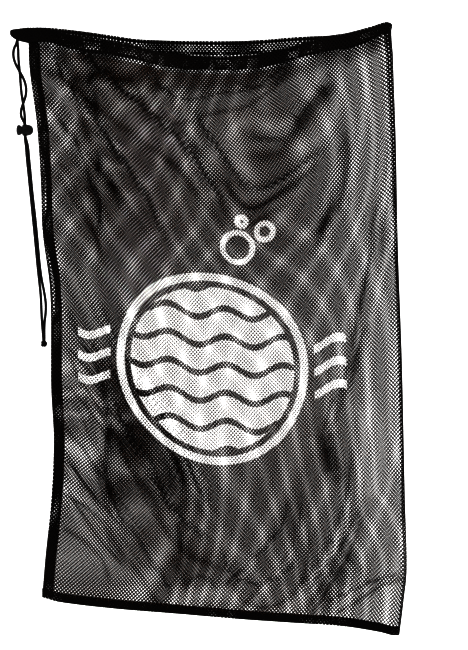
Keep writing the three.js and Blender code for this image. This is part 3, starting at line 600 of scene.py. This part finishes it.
def curve_samples(points, count):
    """Points along a smooth line through a few points, and their share of its length"""
    through = np.array(points, float) * (NET_WIDTH, NET_HEIGHT)
    run = np.concatenate([[0.0], np.cumsum(np.hypot(*np.diff(through, axis=0).T))])
    at = np.linspace(0.0, run[-1], count)
    x = column(np.stack([run, through[:, 0]], axis=1), at)
    z = column(np.stack([run, through[:, 1]], axis=1), at)
    return x, z, at / run[-1]


def creased(rows, across, down):
    """Share closed at each place, and how far the cloth is drawn across and down to the creases"""
    closed = np.zeros_like(across)
    drawn_x = np.zeros_like(across)
    drawn_z = np.zeros_like(across)
    for depth, width, points in rows:
        x, z, share = curve_samples(points, 40)
        reach = 3 * width
        near = np.where(
            (across > x.min() - reach) & (across < x.max() + reach)
            & (down > z.min() - reach) & (down < z.max() + reach)
        )[0]
        here_x = across[near]
        here_z = down[near]
        nearest = np.full(len(near), 1e6)
        off_x = np.zeros(len(near))
        off_z = np.zeros(len(near))
        along = np.zeros(len(near))
        for spot_x, spot_z, part in zip(x, z, share):
            gap = np.hypot(here_x - spot_x, here_z - spot_z)
            closer = gap < nearest
            nearest = np.where(closer, gap, nearest)
            off_x = np.where(closer, here_x - spot_x, off_x)
            off_z = np.where(closer, here_z - spot_z, off_z)
            along = np.where(closer, part, along)
        fade = smooth(along, -0.05, 0.12) * smooth(1 - along, -0.05, 0.12)
        bell = np.exp(-((nearest / width) ** 2)) * fade
        closed[near] += depth * bell
        pull = CREASE_DRAW * depth * np.exp(-((nearest / (1.6 * width)) ** 2)) * fade
        drawn_x[near] -= pull * off_x
        drawn_z[near] -= pull * off_z
    return closed, drawn_x, drawn_z


def relief(face, across, down):
    total = ridge_field(FRONT_FOLDS if face < 0 else BACK_FOLDS, across, down)
    hold = smooth(across, 0.0, 0.09) * smooth(1 - across, 0.0, 0.07)
    ends = smooth(down, 0.02, 0.12) * smooth(0.985 - down, 0.0, 0.09)
    return FOLD_RISE * total * hold * ends


def closing(down):
    return np.cos(np.pi / 2 * smooth(down, 0.55, 1.0)) ** 0.8


def folded_radius(down):
    body = mix(CORNER_RADIUS, FOLDED_SIDE_DEPTH / 2, smooth(down, 0.0, 0.3))
    return mix(SEAM_HALF, body, closing(down))


def cloth_level(face, across, down):
    return mix(hem_top(face, across) - hem_tall(across) - 0.3, bottom_edge(across), down)


def turn_middle(down):
    edge = right_edge(cloth_level(-1, np.ones_like(down), down)) - 0.6
    return mix(CORNER_X, edge - folded_radius(down), smooth(down, 0.0, 0.04))


def cloth_place(face, share, down):
    """Places of a face's cloth, from the left edge to the folded side and from hem to bottom"""
    across = share * FLAT_WIDTH / BAG_WIDTH
    z = cloth_level(face, across, down)
    left = left_edge(cloth_level(face, np.zeros_like(share), down))
    x = mix(left, turn_middle(down), share)
    edge_half = mix(SEAM_HALF, folded_radius(down), share)
    body_half = edge_half + (BODY_DEPTH / 2 - edge_half) * bow(share)
    opened = mix(hem_half_depth(face, share), body_half, smooth(down, 0.0, 0.35))
    half = mix(SEAM_HALF, opened, closing(down))
    return np.stack([x, face * (half + relief(face, across, down)), z], axis=1)


def folded_place(face, turn, down):
    """Places round the folded side: turn is 0 where a face ends and 1 at the outermost line"""
    radius = folded_radius(down)
    angle = np.pi / 2 * (1 - turn)
    across = (CORNER_X + CORNER_RADIUS * np.cos(angle) - LEFT_X) / BAG_WIDTH
    other = cloth_level(-face, across, down)
    z = mix(cloth_level(face, across, down), other, turn / 2)
    x = turn_middle(down) + radius * np.cos(angle)
    return np.stack([x, face * radius * np.sin(angle), z], axis=1)


# Net


def flat_net(width, height, margin):
    """A flat net in the XZ plane, its holes on a lattice at 45 degrees, a margin wider all round"""
    wide = width / 2 + margin
    tall = height / 2 + margin
    reach = 2 * math.ceil(wide / NET_PITCH + tall / (2 * NET_ROW)) + 2
    bm = bmesh.new()
    bmesh.ops.create_grid(bm, x_segments=2 * reach, y_segments=2 * reach, size=reach)
    unwanted = []
    for face in bm.faces:
        middle = face.calc_center_median()
        p = math.floor(middle.x)
        q = math.floor(middle.y)
        x = (middle.x - middle.y) * NET_PITCH / 4
        z = (middle.x + middle.y) * NET_ROW / 2
        if abs(x) > wide or abs(z) > tall or (p % 2 == 0 and q % 2 == 0):
            unwanted.append(face)
    bmesh.ops.delete(bm, geom=unwanted, context="FACES")
    return bm


def put_layer(mesh, label, values):
    """Write one pair of numbers per vertex as a UV layer"""
    corners = np.zeros(len(mesh.loops), dtype=np.int32)
    mesh.loops.foreach_get("vertex_index", corners)
    layer = mesh.uv_layers.new(name=label)
    layer.data.foreach_set("uv", values[corners].astype(np.float32).ravel())


def places_of(mesh):
    values = np.zeros(len(mesh.vertices) * 3)
    mesh.vertices.foreach_get("co", values)
    return values.reshape(-1, 3)


def put_places(mesh, values):
    mesh.vertices.foreach_set("co", values.astype(np.float32).ravel())
    mesh.update()


def laid_net(name, width, height, place, openness, slip, margin):
    """A piece of net laid on a surface: place gives points for distances across and down"""
    mesh = mesh_from(flat_net(width, height, margin), name)
    corners = np.round(places_of(mesh)).astype(int)
    odd = corners % 2
    hole = np.floor_divide(corners, 2)
    hole_x = (hole[:, 0] - hole[:, 1]) * NET_PITCH / 2
    hole_z = (hole[:, 0] + hole[:, 1]) * NET_ROW
    side = np.where(odd[:, :2] == 1, NET_HOLE / 2, -NET_HOLE / 2)
    factor = openness(hole_x + width / 2, height / 2 - hole_z)
    side = side * np.reshape(factor, (-1, 1))
    across = hole_x + (side[:, 0] - side[:, 1]) * NET_PITCH / 2 + width / 2
    down = height / 2 - hole_z - (side[:, 0] + side[:, 1]) * NET_ROW
    shift_x, shift_z = slip(across, down)
    across = across + shift_x
    down = down + shift_z
    put_places(mesh, np.stack([across, np.zeros_like(across), -down], axis=1))
    put_layer(mesh, "lattice", hole[:, :2] + side)
    bm = bmesh.new()
    bm.from_mesh(mesh)
    borders = (
        ((width, 0, 0), (1, 0, 0)), ((0, 0, 0), (-1, 0, 0)),
        ((0, 0, 0), (0, 0, 1)), ((0, 0, -height), (0, 0, -1)),
    )
    for corner, outwards in borders:
        geometry = bm.verts[:] + bm.edges[:] + bm.faces[:]
        bmesh.ops.bisect_plane(
            bm, geom=geometry, dist=1e-5, clear_outer=True,
            plane_co=Vector(corner), plane_no=Vector(outwards),
        )
    bm.to_mesh(mesh)
    bm.free()
    flat = places_of(mesh)
    put_layer(mesh, "cloth", flat[:, [0, 2]] * (MM, -MM))
    put_places(mesh, place(flat[:, 0], -flat[:, 2]) * MM)
    mesh.polygons.foreach_set("use_smooth", np.ones(len(mesh.polygons), dtype=bool))
    return add_object(name, mesh)


def face_place(face):
    def place(across, down):
        share = np.minimum(across, FLAT_WIDTH) / FLAT_WIDTH
        turn = np.clip((across - FLAT_WIDTH) / (NET_WIDTH - FLAT_WIDTH), 0.0, 1.0)
        depth = (down - HEM_TUCK) / (NET_HEIGHT - HEM_TUCK)
        flat = cloth_place(face, np.clip(share, 0.0, 1.0), depth)
        round_side = folded_place(face, turn, depth)
        round_side[:, 0] += EDGE_SPREAD * smooth(turn, 0.2, 1.0)
        return np.where((across > FLAT_WIDTH)[:, None], round_side, flat)
    return place


def face_openness(across, down):
    """How far the holes of both faces open, as a share of their full size"""
    share = across / NET_WIDTH
    closed = CREASE_DEPTH * creased(CREASES, across, down)[0]
    right = 0.03 * smooth(share, 0.64, 0.8) + 0.06 * smooth(share, 0.8, 0.97)
    edge = 0.6 * smooth(across, NET_WIDTH - 7.0, NET_WIDTH - 4.0) + 0.5 * smooth(-across, -4.5, -2.0)
    under_hem = 0.24 * (1 - smooth(down, HEM_TUCK + 5.0, HEM_TUCK + 22.0))
    return np.clip(0.99 - closed + right - edge - under_hem, 0.25, 1.12)


def face_slip(face):
    part = FRONT_SHARE if face < 0 else 1 + FRONT_SHARE

    def slip(across, down):
        share = across / NET_WIDTH
        depth = down / NET_HEIGHT
        lift = relief(face, np.clip(share, 0, 1), np.clip(depth, 0, 1))
        level = np.clip(down, 0.0, NET_HEIGHT)
        apart = face_place(1)(across, level) - face_place(-1)(across, level)
        start = mix(0.0, RISE_START, smooth(depth, 0.42, 0.8))
        rise = SLIP_RISE * (np.maximum(across, start) - NET_WIDTH) * (1 + 0.3 * smooth(depth, 0.35, 0.8))
        swing = SLIP_SWING * (down - SWING_LEVEL) * (1 - 0.7 * smooth(share, 0.35, 1.0))
        swing = np.where(down > SWING_LEVEL, swing * (0.2 + 0.8 * smooth(share, 0.25, 0.65)), swing)
        sway_x = 0.7 * np.sin(2 * np.pi * (depth * 2.3 + share * 0.7)) + 0.1 * lift
        sway_z = 0.5 * np.sin(2 * np.pi * (share * 1.9 + depth * 0.6)) + 0.1 * lift
        shift_x = part * (swing + SLIP_ACROSS - apart[:, 0]) - face * SWAY * sway_x
        shift_z = part * (rise + SLIP_DOWN + apart[:, 2]) - face * SWAY * sway_z
        if face < 0:
            _, drawn_x, drawn_z = creased(CREASES, across, down)
            shift_x = shift_x + drawn_x
            shift_z = shift_z + drawn_z
        for centre_x, centre_z, reach, turn in FRONT_TURNS if face < 0 else BACK_TURNS:
            off_x = across - centre_x * NET_WIDTH
            off_z = down - centre_z * NET_HEIGHT
            local = turn * np.exp(-(off_x**2 + off_z**2) / reach**2)
            shift_x = shift_x - local * off_z
            shift_z = shift_z + local * off_x
        return shift_x, shift_z
    return slip


def finish_piece(piece, material, body, replaced=()):
    piece.data.materials.append(material)
    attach(piece, body)
    if replaced:
        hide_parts(*replaced)


net_plain = net_material("net_plain", False)
net_printed = net_material("net_printed", True)

front = laid_net("front_net", NET_WIDTH, NET_HEIGHT, face_place(-1), face_openness, face_slip(-1), 40.0)
finish_piece(front, net_printed, "bag", ["net_front"])
back = laid_net("back_net", NET_WIDTH, NET_HEIGHT, face_place(1), face_openness, face_slip(1), 50.0)
finish_piece(back, net_plain, "bag", ["net_back"])


def shade_sheet_material():
    """Painted shade: a dark sheet that lets part of the light through and dims what is seen behind it"""
    # Painted shade: a warm dark colour, whose alpha from the UV layer, with streaks, sets how much light the
    # sheet holds back
    material, tree, shader = new_material("painted_shade_sheet", (0.13, 0.068, 0.042), 0.9, 0.03)
    haze = split(tree, uv_of(tree, "haze"))[0]
    cloth = uv_of(tree, "cloth")
    mapping = tree.nodes.new("ShaderNodeMapping")
    mapping.inputs["Rotation"].default_value = (0.0, 0.0, 0.9)
    mapping.inputs["Scale"].default_value = (60.0, 9.0, 1.0)
    tree.links.new(cloth, mapping.inputs["Vector"])
    streaks = noise(tree, mapping.outputs["Vector"], 1.0, 3.0)
    uneven = maths(tree, "MULTIPLY_ADD", streaks, 0.5, 0.75)
    tree.links.new(maths(tree, "MULTIPLY", haze, uneven, clamp=True), shader.inputs["Alpha"])
    add_bump(tree, shader, streaks, 0.0003)
    return material


def painted_shade_sheet():
    """A dark, partly clear sheet just behind the front: painted shade that dims the net where it is
    gathered. No real piece
    """
    bm = bmesh.new()
    bmesh.ops.create_grid(bm, x_segments=80, y_segments=124, size=0.5)
    bmesh.ops.scale(bm, vec=Vector((NET_WIDTH - 24.0, NET_HEIGHT - 16.0, 1.0)), verts=bm.verts)
    bmesh.ops.translate(bm, vec=Vector((NET_WIDTH / 2, -NET_HEIGHT / 2, 0.0)), verts=bm.verts)
    mesh = mesh_from(bm, "painted_shade_sheet")
    flat = places_of(mesh)
    across = flat[:, 0]
    down = -flat[:, 1]
    share = across / NET_WIDTH
    # Painted shade: an even amount, less at the left edge and least towards the right, and more along the
    # table's rows
    even = 0.17 + 0.06 * smooth(share, 0.04, 0.2) - 0.12 * smooth(share, 0.68, 0.85)
    haze = np.clip(even + 0.55 * creased(SHADE_PATCHES, across, down)[0], 0.0, 0.8)
    put_layer(mesh, "haze", np.stack([haze, haze], axis=1))
    put_layer(mesh, "cloth", np.stack([across, down], axis=1) * MM)
    places = face_place(-1)(across, down)
    places[:, 1] = mix(places[:, 1], face_place(1)(across, down)[:, 1], 0.25)
    put_places(mesh, places * MM)
    return add_object("painted_shade_sheet", mesh)


# Painted shade sheet behind the front net
shade_sheet = painted_shade_sheet()
finish_piece(shade_sheet, shade_sheet_material(), "bag")


# Hem with the cord's channel


def hem_line():
    """Samples of the hem's run from the front ear's tip round the mouth to the back ear's tip"""
    rows = []
    for face in (-1, 1):
        side = []
        for out in np.linspace(1.0, 0.02, 40):
            drop = float(column(EAR_DROP, out)) * HEM_HEIGHT
            tall = float(column(EAR_TALL, out)) * HEM_HEIGHT
            side.append((LEFT_X - out * EAR_LENGTH, face * EAR_HALF_SPACING, -drop, tall, 1.0, out))
        for share in np.linspace(0.0, 1.0, 240)[:-1]:
            across = share * FLAT_WIDTH / BAG_WIDTH
            x = mix(LEFT_X, CORNER_X, share)
            y = face * float(hem_half_depth(face, share))
            full = 1.0 - float(smooth(share, 0.0, 0.08))
            side.append((x, y, float(hem_top(face, across)), float(hem_tall(across)), full, 0.0))
        if face > 0:
            side.reverse()
        rows.append(side)
    turns = []
    for step in np.linspace(0.0, 1.0, 25):
        angle = np.pi * (step - 0.5)
        x = CORNER_X + CORNER_RADIUS * np.cos(angle)
        across = (x - LEFT_X) / BAG_WIDTH
        top = mix(float(hem_top(-1, across)), float(hem_top(1, across)), step)
        turns.append((x, CORNER_RADIUS * np.sin(angle), top, float(hem_tall(across)), 0.0, 0.0))
    line = np.array(rows[0] + turns + rows[1])
    steps = np.hypot(np.diff(line[:, 0]), np.diff(line[:, 1]))
    return line, np.concatenate([[0.0], np.cumsum(steps)])


HEM_LINE, HEM_RUN = hem_line()
HEM_LENGTH = HEM_RUN[-1]
HEM_GIRTH = 2 * (HEM_HEIGHT + 1.6)


def hem_place(inset):
    def at(along, k):
        return np.interp(along, HEM_RUN, HEM_LINE[:, k])

    def place(along, around):
        x, y, top, tall, full, out = [at(along, k) for k in range(6)]
        ahead, aside = [at(along + 2.0, k) - at(along - 2.0, k) for k in (0, 1)]
        length = np.hypot(ahead, aside)
        side_x = -aside / length
        side_y = ahead / length
        turn = (around / HEM_GIRTH + 0.5) % 1.0
        hand = np.where(turn < 0.5, 1.0, -1.0)
        run = np.where(turn < 0.5, turn, 1.0 - turn) * 2.0
        radius = HEM_HALF - inset
        tip = np.sqrt(np.clip((1.0 - out) / 0.12, 0.0, 1.0))
        arc = radius * np.pi / 2
        total = arc + tall - radius
        angle = np.clip(run * total / radius, 0.0, np.pi / 2)
        below = np.where(run * total < arc, radius * (1 - np.cos(angle)), run * total - arc + radius)
        foot = mix(HEM_FOOT_HALF, HEM_HALF * 0.8, full) - inset * 0.5
        taper = mix(radius, foot, smooth(below, radius, tall))
        half = np.where(run * total < arc, radius * np.sin(angle), taper) * tip
        level = top - inset - below * (1 - inset / 12)
        return np.stack([x + side_x * half * hand, y + side_y * half * hand, level], axis=1)
    return place


def hem_openness(along, around):
    edge = np.minimum(along, HEM_LENGTH - along)
    front = mix(0.76, 0.54, smooth(along, 110.0, 170.0)) + 0.12 * smooth(along, 370.0, 430.0)
    face = mix(front, 0.65, smooth(along, 0.49 * HEM_LENGTH, 0.51 * HEM_LENGTH))
    return np.clip(0.3 + (face - 0.3) * smooth(edge, 30.0, 90.0), 0.3, 1.0)


def hem_slip(along, around):
    return 1.2 * np.sin(along * 0.11) + 0.6 * np.sin(along * 0.37), 0.5 * np.sin(along * 0.06)


hem = laid_net("hem_cloth", HEM_LENGTH, HEM_GIRTH, hem_place(0.0), hem_openness, hem_slip, 6.0)
finish_piece(hem, net_plain, "bag", ["mouth_hem"])


# Seams


def seam_margin(z):
    """How far the sewn band stands in from the left edge, where the edge has rolled outwards"""
    rows = [
        (0.0, 1.0), (0.02, 5.5), (0.1, 6.5), (0.16, 5.0), (0.19, 1.0), (0.235, 5.5), (0.3, 6.0), (0.34, 1.0),
        (0.4, 5.0), (0.46, 5.5), (0.5, 1.0), (0.7, 0.8), (0.945, 0.5),
    ]
    return column(rows, -z / BAG_HEIGHT)


def side_band_place(y):
    first = 0.3
    last = SIDE_SEAM_WIDTH - 0.7

    def place(across, down):
        depth = np.clip(down / NET_HEIGHT, 0.0, 1.0)
        level = cloth_level(-1, np.zeros_like(depth), depth)
        margin = seam_margin(level)
        x = left_edge(level) + mix(margin + first, np.full_like(margin, last), across / (last - first))
        return np.stack([x, np.full_like(x, y) + 0.25 * np.sin(down * 0.21), level], axis=1)
    return place


def bottom_band_place(y):
    def place(across, down):
        share = np.clip(across / NET_WIDTH, 0.0, 1.0)
        left = left_edge(np.full_like(share, BOTTOM_LEFT_Z))
        right = right_edge(np.full_like(share, -BAG_HEIGHT))
        low = bottom_edge(share * 0.999 * (right - LEFT_X) / BAG_WIDTH)
        x = mix(left, right - 0.6, share)
        return np.stack([x, np.full_like(x, y) + 0.2 * np.sin(across * 0.17), low + down], axis=1)
    return place


def seam_openness(across, down):
    return np.full_like(across, SEAM_OPENNESS)


def seam_slip(turn):
    """Turn a layer of a seam against the others, in radians"""
    def slip(across, down):
        return turn * 40.0 * np.sin(down / 40.0), turn * 40.0 * np.sin(across / 40.0)
    return slip


for node, width, height, spread, place_at in (
    ("side_seam", SIDE_SEAM_WIDTH - 1.0, NET_HEIGHT, 0.45, side_band_place),
    ("bottom_seam", NET_WIDTH, BOTTOM_SEAM_HEIGHT, 0.4, bottom_band_place),
):
    for number, y in enumerate((-spread, 0.0, spread)):
        band = laid_net(
            f"{node}_layer_{number + 1}", width, height, place_at(y),
            seam_openness, seam_slip(0.03 * number), 6.0,
        )
        finish_piece(band, net_plain, "bag", [node] if number == 0 else [])


# Stitches


def thread_material():
    material, tree, shader = new_material("sewing_thread", (0.02, 0.018, 0.017), 0.7, 0.15)
    x, y, z = split(tree, object_places(tree))
    level = maths(tree, "MULTIPLY", maths(tree, "ADD", maths(tree, "ADD", x, y), z), 2 * math.pi / 0.0007)
    twist = maths(tree, "MULTIPLY_ADD", maths(tree, "SINE", level), 0.5, 0.5)
    # Painted shade: darker in the grooves of the twist and lighter on its ridges
    colour = between(tree, twist, (0.01, 0.009, 0.0085), (0.03, 0.027, 0.026))
    tree.links.new(colour, shader.inputs["Base Color"])
    add_bump(tree, shader, twist, 0.0001)
    return material


def stitches(name, rows):
    """Short thread loops along rows of points, lying across the given outward directions"""
    turns = []
    for points, outwards in rows:
        ahead = np.gradient(points, axis=0)
        for place, way, out in zip(points, ahead, outwards):
            along = Vector(way).normalized()
            aside = Vector(out).normalized().cross(along).normalized()
            upright = along.cross(aside)
            columns = (aside * STITCH_HALF_WIDTH, upright * STITCH_HALF_WIDTH, along * STITCH_HALF_LENGTH)
            turn = Matrix(columns).transposed().to_4x4()
            turn.translation = Vector(place)
            turns.append(Matrix.Scale(MM, 4) @ turn)
    whole = bmesh.new()
    batch_mesh = bpy.data.meshes.new(name + "_batch")
    for first in range(0, len(turns), STITCH_BATCH):
        batch = bmesh.new()
        for matrix in turns[first:first + STITCH_BATCH]:
            bmesh.ops.create_uvsphere(batch, u_segments=6, v_segments=4, radius=1.0, matrix=matrix)
        batch.to_mesh(batch_mesh)
        batch.free()
        whole.from_mesh(batch_mesh)
    bpy.data.meshes.remove(batch_mesh)
    mesh = mesh_from(whole, name)
    mesh.shade_smooth()
    return add_object(name, mesh)


def hem_rows():
    along = np.arange(STITCH_PITCH, HEM_LENGTH - STITCH_PITCH, STITCH_PITCH)
    shift = 0.035 * HEM_GIRTH
    place = hem_place(-0.5)
    one = place(along, np.full_like(along, -shift))
    other = place(along, np.full_like(along, shift))
    return [(one, one - other), (other, other - one)]


def seam_rows(place, lines, run, along_first):
    """Rows on both sides of a seam band, at distances across it"""
    rows = []
    spots = np.arange(STITCH_PITCH, run - STITCH_PITCH, STITCH_PITCH)
    for line in lines:
        fixed = np.full_like(spots, line)
        points = place(spots, fixed) if along_first else place(fixed, spots)
        for side in (-1.0, 1.0):
            moved = points + np.array([0.0, side * 0.78, 0.0])
            rows.append((moved, np.tile([0.0, side, 0.0], (len(spots), 1))))
    return rows


thread = thread_material()
side_lines = (2.2, SIDE_SEAM_WIDTH - 3.2)
bottom_lines = (2.2, BOTTOM_SEAM_HEIGHT - 2.2)
side_rows = seam_rows(side_band_place(0.0), side_lines, NET_HEIGHT, False)
bottom_rows = seam_rows(bottom_band_place(0.0), bottom_lines, NET_WIDTH, True)
hem_thread = stitches("hem_stitches", hem_rows())
side_thread = stitches("side_seam_stitches", side_rows)
bottom_thread = stitches("bottom_seam_stitches", bottom_rows)
for piece in (hem_thread, side_thread, bottom_thread):
    finish_piece(piece, thread, "bag")


# Drawcord


def cord_material(name):
    return new_material(name, (0.02, 0.02, 0.02), 0.75, 0.1)


def braided(tree, shader, along, round_it):
    """Crossing strands from two numbers, one along the cord and one round it"""
    first = maths(tree, "ADD", along, round_it)
    second = maths(tree, "SUBTRACT", along, round_it)
    wave_a = maths(tree, "SINE", maths(tree, "MULTIPLY", first, 8 * math.pi))
    wave_b = maths(tree, "SINE", maths(tree, "MULTIPLY", second, 8 * math.pi))
    height = maths(tree, "MULTIPLY_ADD", maths(tree, "MAXIMUM", wave_a, wave_b), 0.5, 0.5)
    # Painted shade: the colour follows the braid's height, darker in the grooves between strands
    colour = between(tree, height, (0.009, 0.0088, 0.009), (0.03, 0.0285, 0.028))
    tree.links.new(colour, shader.inputs["Base Color"])
    rough = maths(tree, "MULTIPLY_ADD", height, -0.15, 0.8)
    tree.links.new(rough, shader.inputs["Roughness"])
    add_bump(tree, shader, height, 0.0003)


def braided_cord_material():
    material, tree, shader = cord_material("braided_cord")
    u, v, _ = split(tree, uv_of(tree, "UVMap"))
    braided(tree, shader, maths(tree, "MULTIPLY", u, 30.0), v)
    return material


def channel_cord_material():
    material, tree, shader = cord_material("channel_cord_braid")
    x, y, z = split(tree, object_places(tree))
    along = maths(tree, "MULTIPLY", maths(tree, "ADD", x, y), 1 / 0.011)
    braided(tree, shader, along, maths(tree, "MULTIPLY", z, 1 / 0.011))
    return material


def cord_curve(name, points, closed=False):
    data = bpy.data.curves.new(name, "CURVE")
    data.dimensions = "3D"
    data.bevel_depth = CORD_DIAMETER / 2 * MM
    data.bevel_resolution = 5
    data.resolution_u = 6
    data.use_fill_caps = True
    spline = data.splines.new("NURBS")
    spline.points.add(len(points) - 1)
    for point, place in zip(spline.points, points):
        point.co = (place[0] * MM, place[1] * MM, place[2] * MM, 1.0)
    spline.order_u = 3
    spline.use_endpoint_u = not closed
    spline.use_cyclic_u = closed
    spline.use_smooth = True
    return add_object(name, data)


cord_finish = braided_cord_material()
front_cord = cord_curve("front_cord", FRONT_STRAND)
finish_piece(front_cord, cord_finish, "bag", ["cord_strand_front"])
back_cord = cord_curve("back_cord", BACK_STRAND)
finish_piece(back_cord, cord_finish, "bag", ["cord_strand_back"])


def knot_points():
    """A trefoil pulled tight into a round lump"""
    points = []
    for step in range(KNOT_STEPS):
        t = 2 * math.pi * step / KNOT_STEPS
        ring = KNOT_RING + KNOT_SWING * math.cos(3 * t)
        x = KNOT_PLACE[0] + ring * math.cos(2 * t)
        y = KNOT_PLACE[1] + ring * math.sin(2 * t)
        z = KNOT_PLACE[2] + KNOT_RISE * math.sin(3 * t)
        points.append((x, y, z))
    return points


knot = cord_curve("tied_knot", knot_points(), closed=True)
finish_piece(knot, cord_finish, "bag", ["end_knot"])


def lock_material():
    material, tree, shader = new_material("moulded_lock", (0.02, 0.02, 0.021), 0.42, 0.35)
    places = object_places(tree)
    grain = noise(tree, places, 1400.0, 3.0)
    wear = noise(tree, places, 160.0, 3.0)
    colour = between(tree, ramped(tree, wear, 0.4, 0.75), (0.012, 0.012, 0.0125), (0.03, 0.03, 0.031))
    tree.links.new(colour, shader.inputs["Base Color"])
    rough = maths(tree, "MULTIPLY_ADD", wear, 0.25, 0.3)
    tree.links.new(rough, shader.inputs["Roughness"])
    add_bump(tree, shader, grain, 0.00012)
    return material


def turned_part(name, rows, slot_from, slot_to):
    """A part turned about the lock's axis from rows of place and radius, with the cords' slot cut through"""
    bm = bmesh.new()
    chain = [bm.verts.new((x, 0.0, radius)) for x, radius in rows]
    edges = [bm.edges.new(pair) for pair in zip(chain, chain[1:])]
    bmesh.ops.spin(
        bm, geom=chain + edges, cent=(0, 0, 0), axis=(1, 0, 0), angle=2 * math.pi, steps=40, use_merge=True,
    )
    bmesh.ops.remove_doubles(bm, verts=bm.verts, dist=0.01)
    bmesh.ops.recalc_face_normals(bm, faces=bm.faces)
    mesh = mesh_from(bm, name)
    slot_bm = bmesh.new()
    half_y = CORD_DIAMETER + 1.5 * LOCK_FIT
    bmesh.ops.create_cube(slot_bm, size=1.0)
    bmesh.ops.scale(slot_bm, vec=(slot_to - slot_from, 2 * half_y, 4 * BARREL_RADIUS), verts=slot_bm.verts)
    bmesh.ops.translate(slot_bm, vec=((slot_from + slot_to) / 2, 0.0, 0.0), verts=slot_bm.verts)
    upright = [e for e in slot_bm.edges if abs(e.verts[0].co.z - e.verts[1].co.z) > 1.0]
    bmesh.ops.bevel(slot_bm, geom=upright, offset=1.0, segments=4, affect="EDGES", profile=0.5)
    slot_mesh = mesh_from(slot_bm, name + "_slot")
    body = add_object(name + "_body", mesh)
    cutter = add_object(name + "_slot", slot_mesh)
    cut = body.modifiers.new("slot", "BOOLEAN")
    cut.operation = "DIFFERENCE"
    cut.solver = "EXACT"
    cut.object = cutter
    soft = body.modifiers.new("edges", "BEVEL")
    soft.width = 0.22
    soft.segments = 2
    soft.limit_method = "ANGLE"
    soft.angle_limit = math.radians(40)
    done = bpy.data.meshes.new_from_object(body.evaluated_get(bpy.context.evaluated_depsgraph_get()))
    bpy.data.objects.remove(body)
    bpy.data.objects.remove(cutter)
    done.transform(Matrix.Scale(MM, 4) @ Matrix.Translation(Vector(LOCK_PLACE)))
    done.shade_smooth()
    done.set_sharp_from_angle(angle=math.radians(40))
    return add_object(name, done)


def lock_rows():
    """Half sections of the barrel with its bore and mouth, and of the button with its collar and plunger"""
    length = BARREL_END - BARREL_MOUTH
    shape = [(0.0, 0.95), (0.06, 0.97), (0.28, 1.0), (0.55, 0.96), (0.8, 0.78), (0.94, 0.5), (1.0, 0.2)]
    window = CORD_DIAMETER / 2 + LOCK_FIT
    bore = PLUNGER_RADIUS + LOCK_FIT
    plunger_end = window + 1.6
    bore_end = plunger_end + LOCK_TRAVEL + LOCK_FIT
    mouth = COLLAR_RADIUS + LOCK_FIT
    step = BARREL_MOUTH + LOCK_TRAVEL + 0.2
    barrel = [(bore_end, 0.0), (bore_end, bore), (step, bore), (step, mouth), (BARREL_MOUTH, mouth)]
    for share in (0.0, 0.03, 0.06, 0.15, 0.28, 0.42, 0.55, 0.68, 0.8, 0.88, 0.94, 0.98, 1.0):
        barrel.append((BARREL_MOUTH + share * length, BARREL_RADIUS * float(column(shape, share))))
    barrel.append((BARREL_END, 0.0))
    shoulder = BARREL_MOUTH - LOCK_TRAVEL - 0.12
    tip = shoulder - HEAD_LENGTH
    head = [
        (0.0, 0.0), (0.01, 0.3), (0.05, 0.52), (0.15, 0.74),
        (0.32, 0.9), (0.5, 0.98), (0.7, 1.0), (1.0, 0.96),
    ]
    button = [(tip + share * HEAD_LENGTH, HEAD_RADIUS * radius) for share, radius in head]
    collar_end = BARREL_MOUTH - 0.1
    button += [(shoulder, COLLAR_RADIUS), (collar_end, COLLAR_RADIUS), (collar_end, PLUNGER_RADIUS)]
    button += [(plunger_end, PLUNGER_RADIUS), (plunger_end, 0.0)]
    return barrel, button, window


barrel_rows, button_rows, slot_half = lock_rows()
lock_finish = lock_material()
barrel = turned_part("lock_barrel", barrel_rows, -slot_half, slot_half)
finish_piece(barrel, lock_finish, "bag", ["cord_lock_barrel"])
button = turned_part("lock_button", button_rows, -slot_half - LOCK_TRAVEL, slot_half)
finish_piece(button, lock_finish, "button", ["cord_lock_button"])
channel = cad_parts["channel_cord"]
channel.data.materials.clear()
channel.data.materials.append(channel_cord_material())


# Room: pale floor below the bag, white surroundings and soft lights


def make_room():
    bm = bmesh.new()
    bmesh.ops.create_grid(bm, x_segments=2, y_segments=2, size=3.0)
    bmesh.ops.translate(bm, vec=Vector((0.0, 0.0, -1.0)), verts=bm.verts)
    floor = add_object("pale_floor", mesh_from(bm, "pale_floor"))
    material, _, shader = new_material("floor_paint", (0.9, 0.9, 0.9), 0.9, 0.1)
    shader.inputs["Emission Color"].default_value = (1.0, 1.0, 1.0, 1.0)
    shader.inputs["Emission Strength"].default_value = FLOOR_GLOW
    floor.data.materials.append(material)
    world = bpy.data.worlds.new("white_room")
    world.use_nodes = True
    background = world.node_tree.nodes["Background"]
    background.inputs["Color"].default_value = (1.0, 1.0, 1.0, 1.0)
    background.inputs["Strength"].default_value = ROOM_LIGHT
    bpy.context.scene.world = world
    for name, place, power in LIGHTS:
        data = bpy.data.lights.new(name, "AREA")
        data.size = LIGHT_SIZE
        data.energy = power
        light = add_object(name, data)
        light.location = place
        aim = Vector(LIGHT_AIM) - Vector(place)
        light.rotation_mode = "QUATERNION"
        light.rotation_quaternion = aim.to_track_quat("-Z", "Y")
    bpy.context.scene.view_settings.view_transform = "Standard"
    bpy.context.scene.view_settings.gamma = VIEW_GAMMA


make_room()
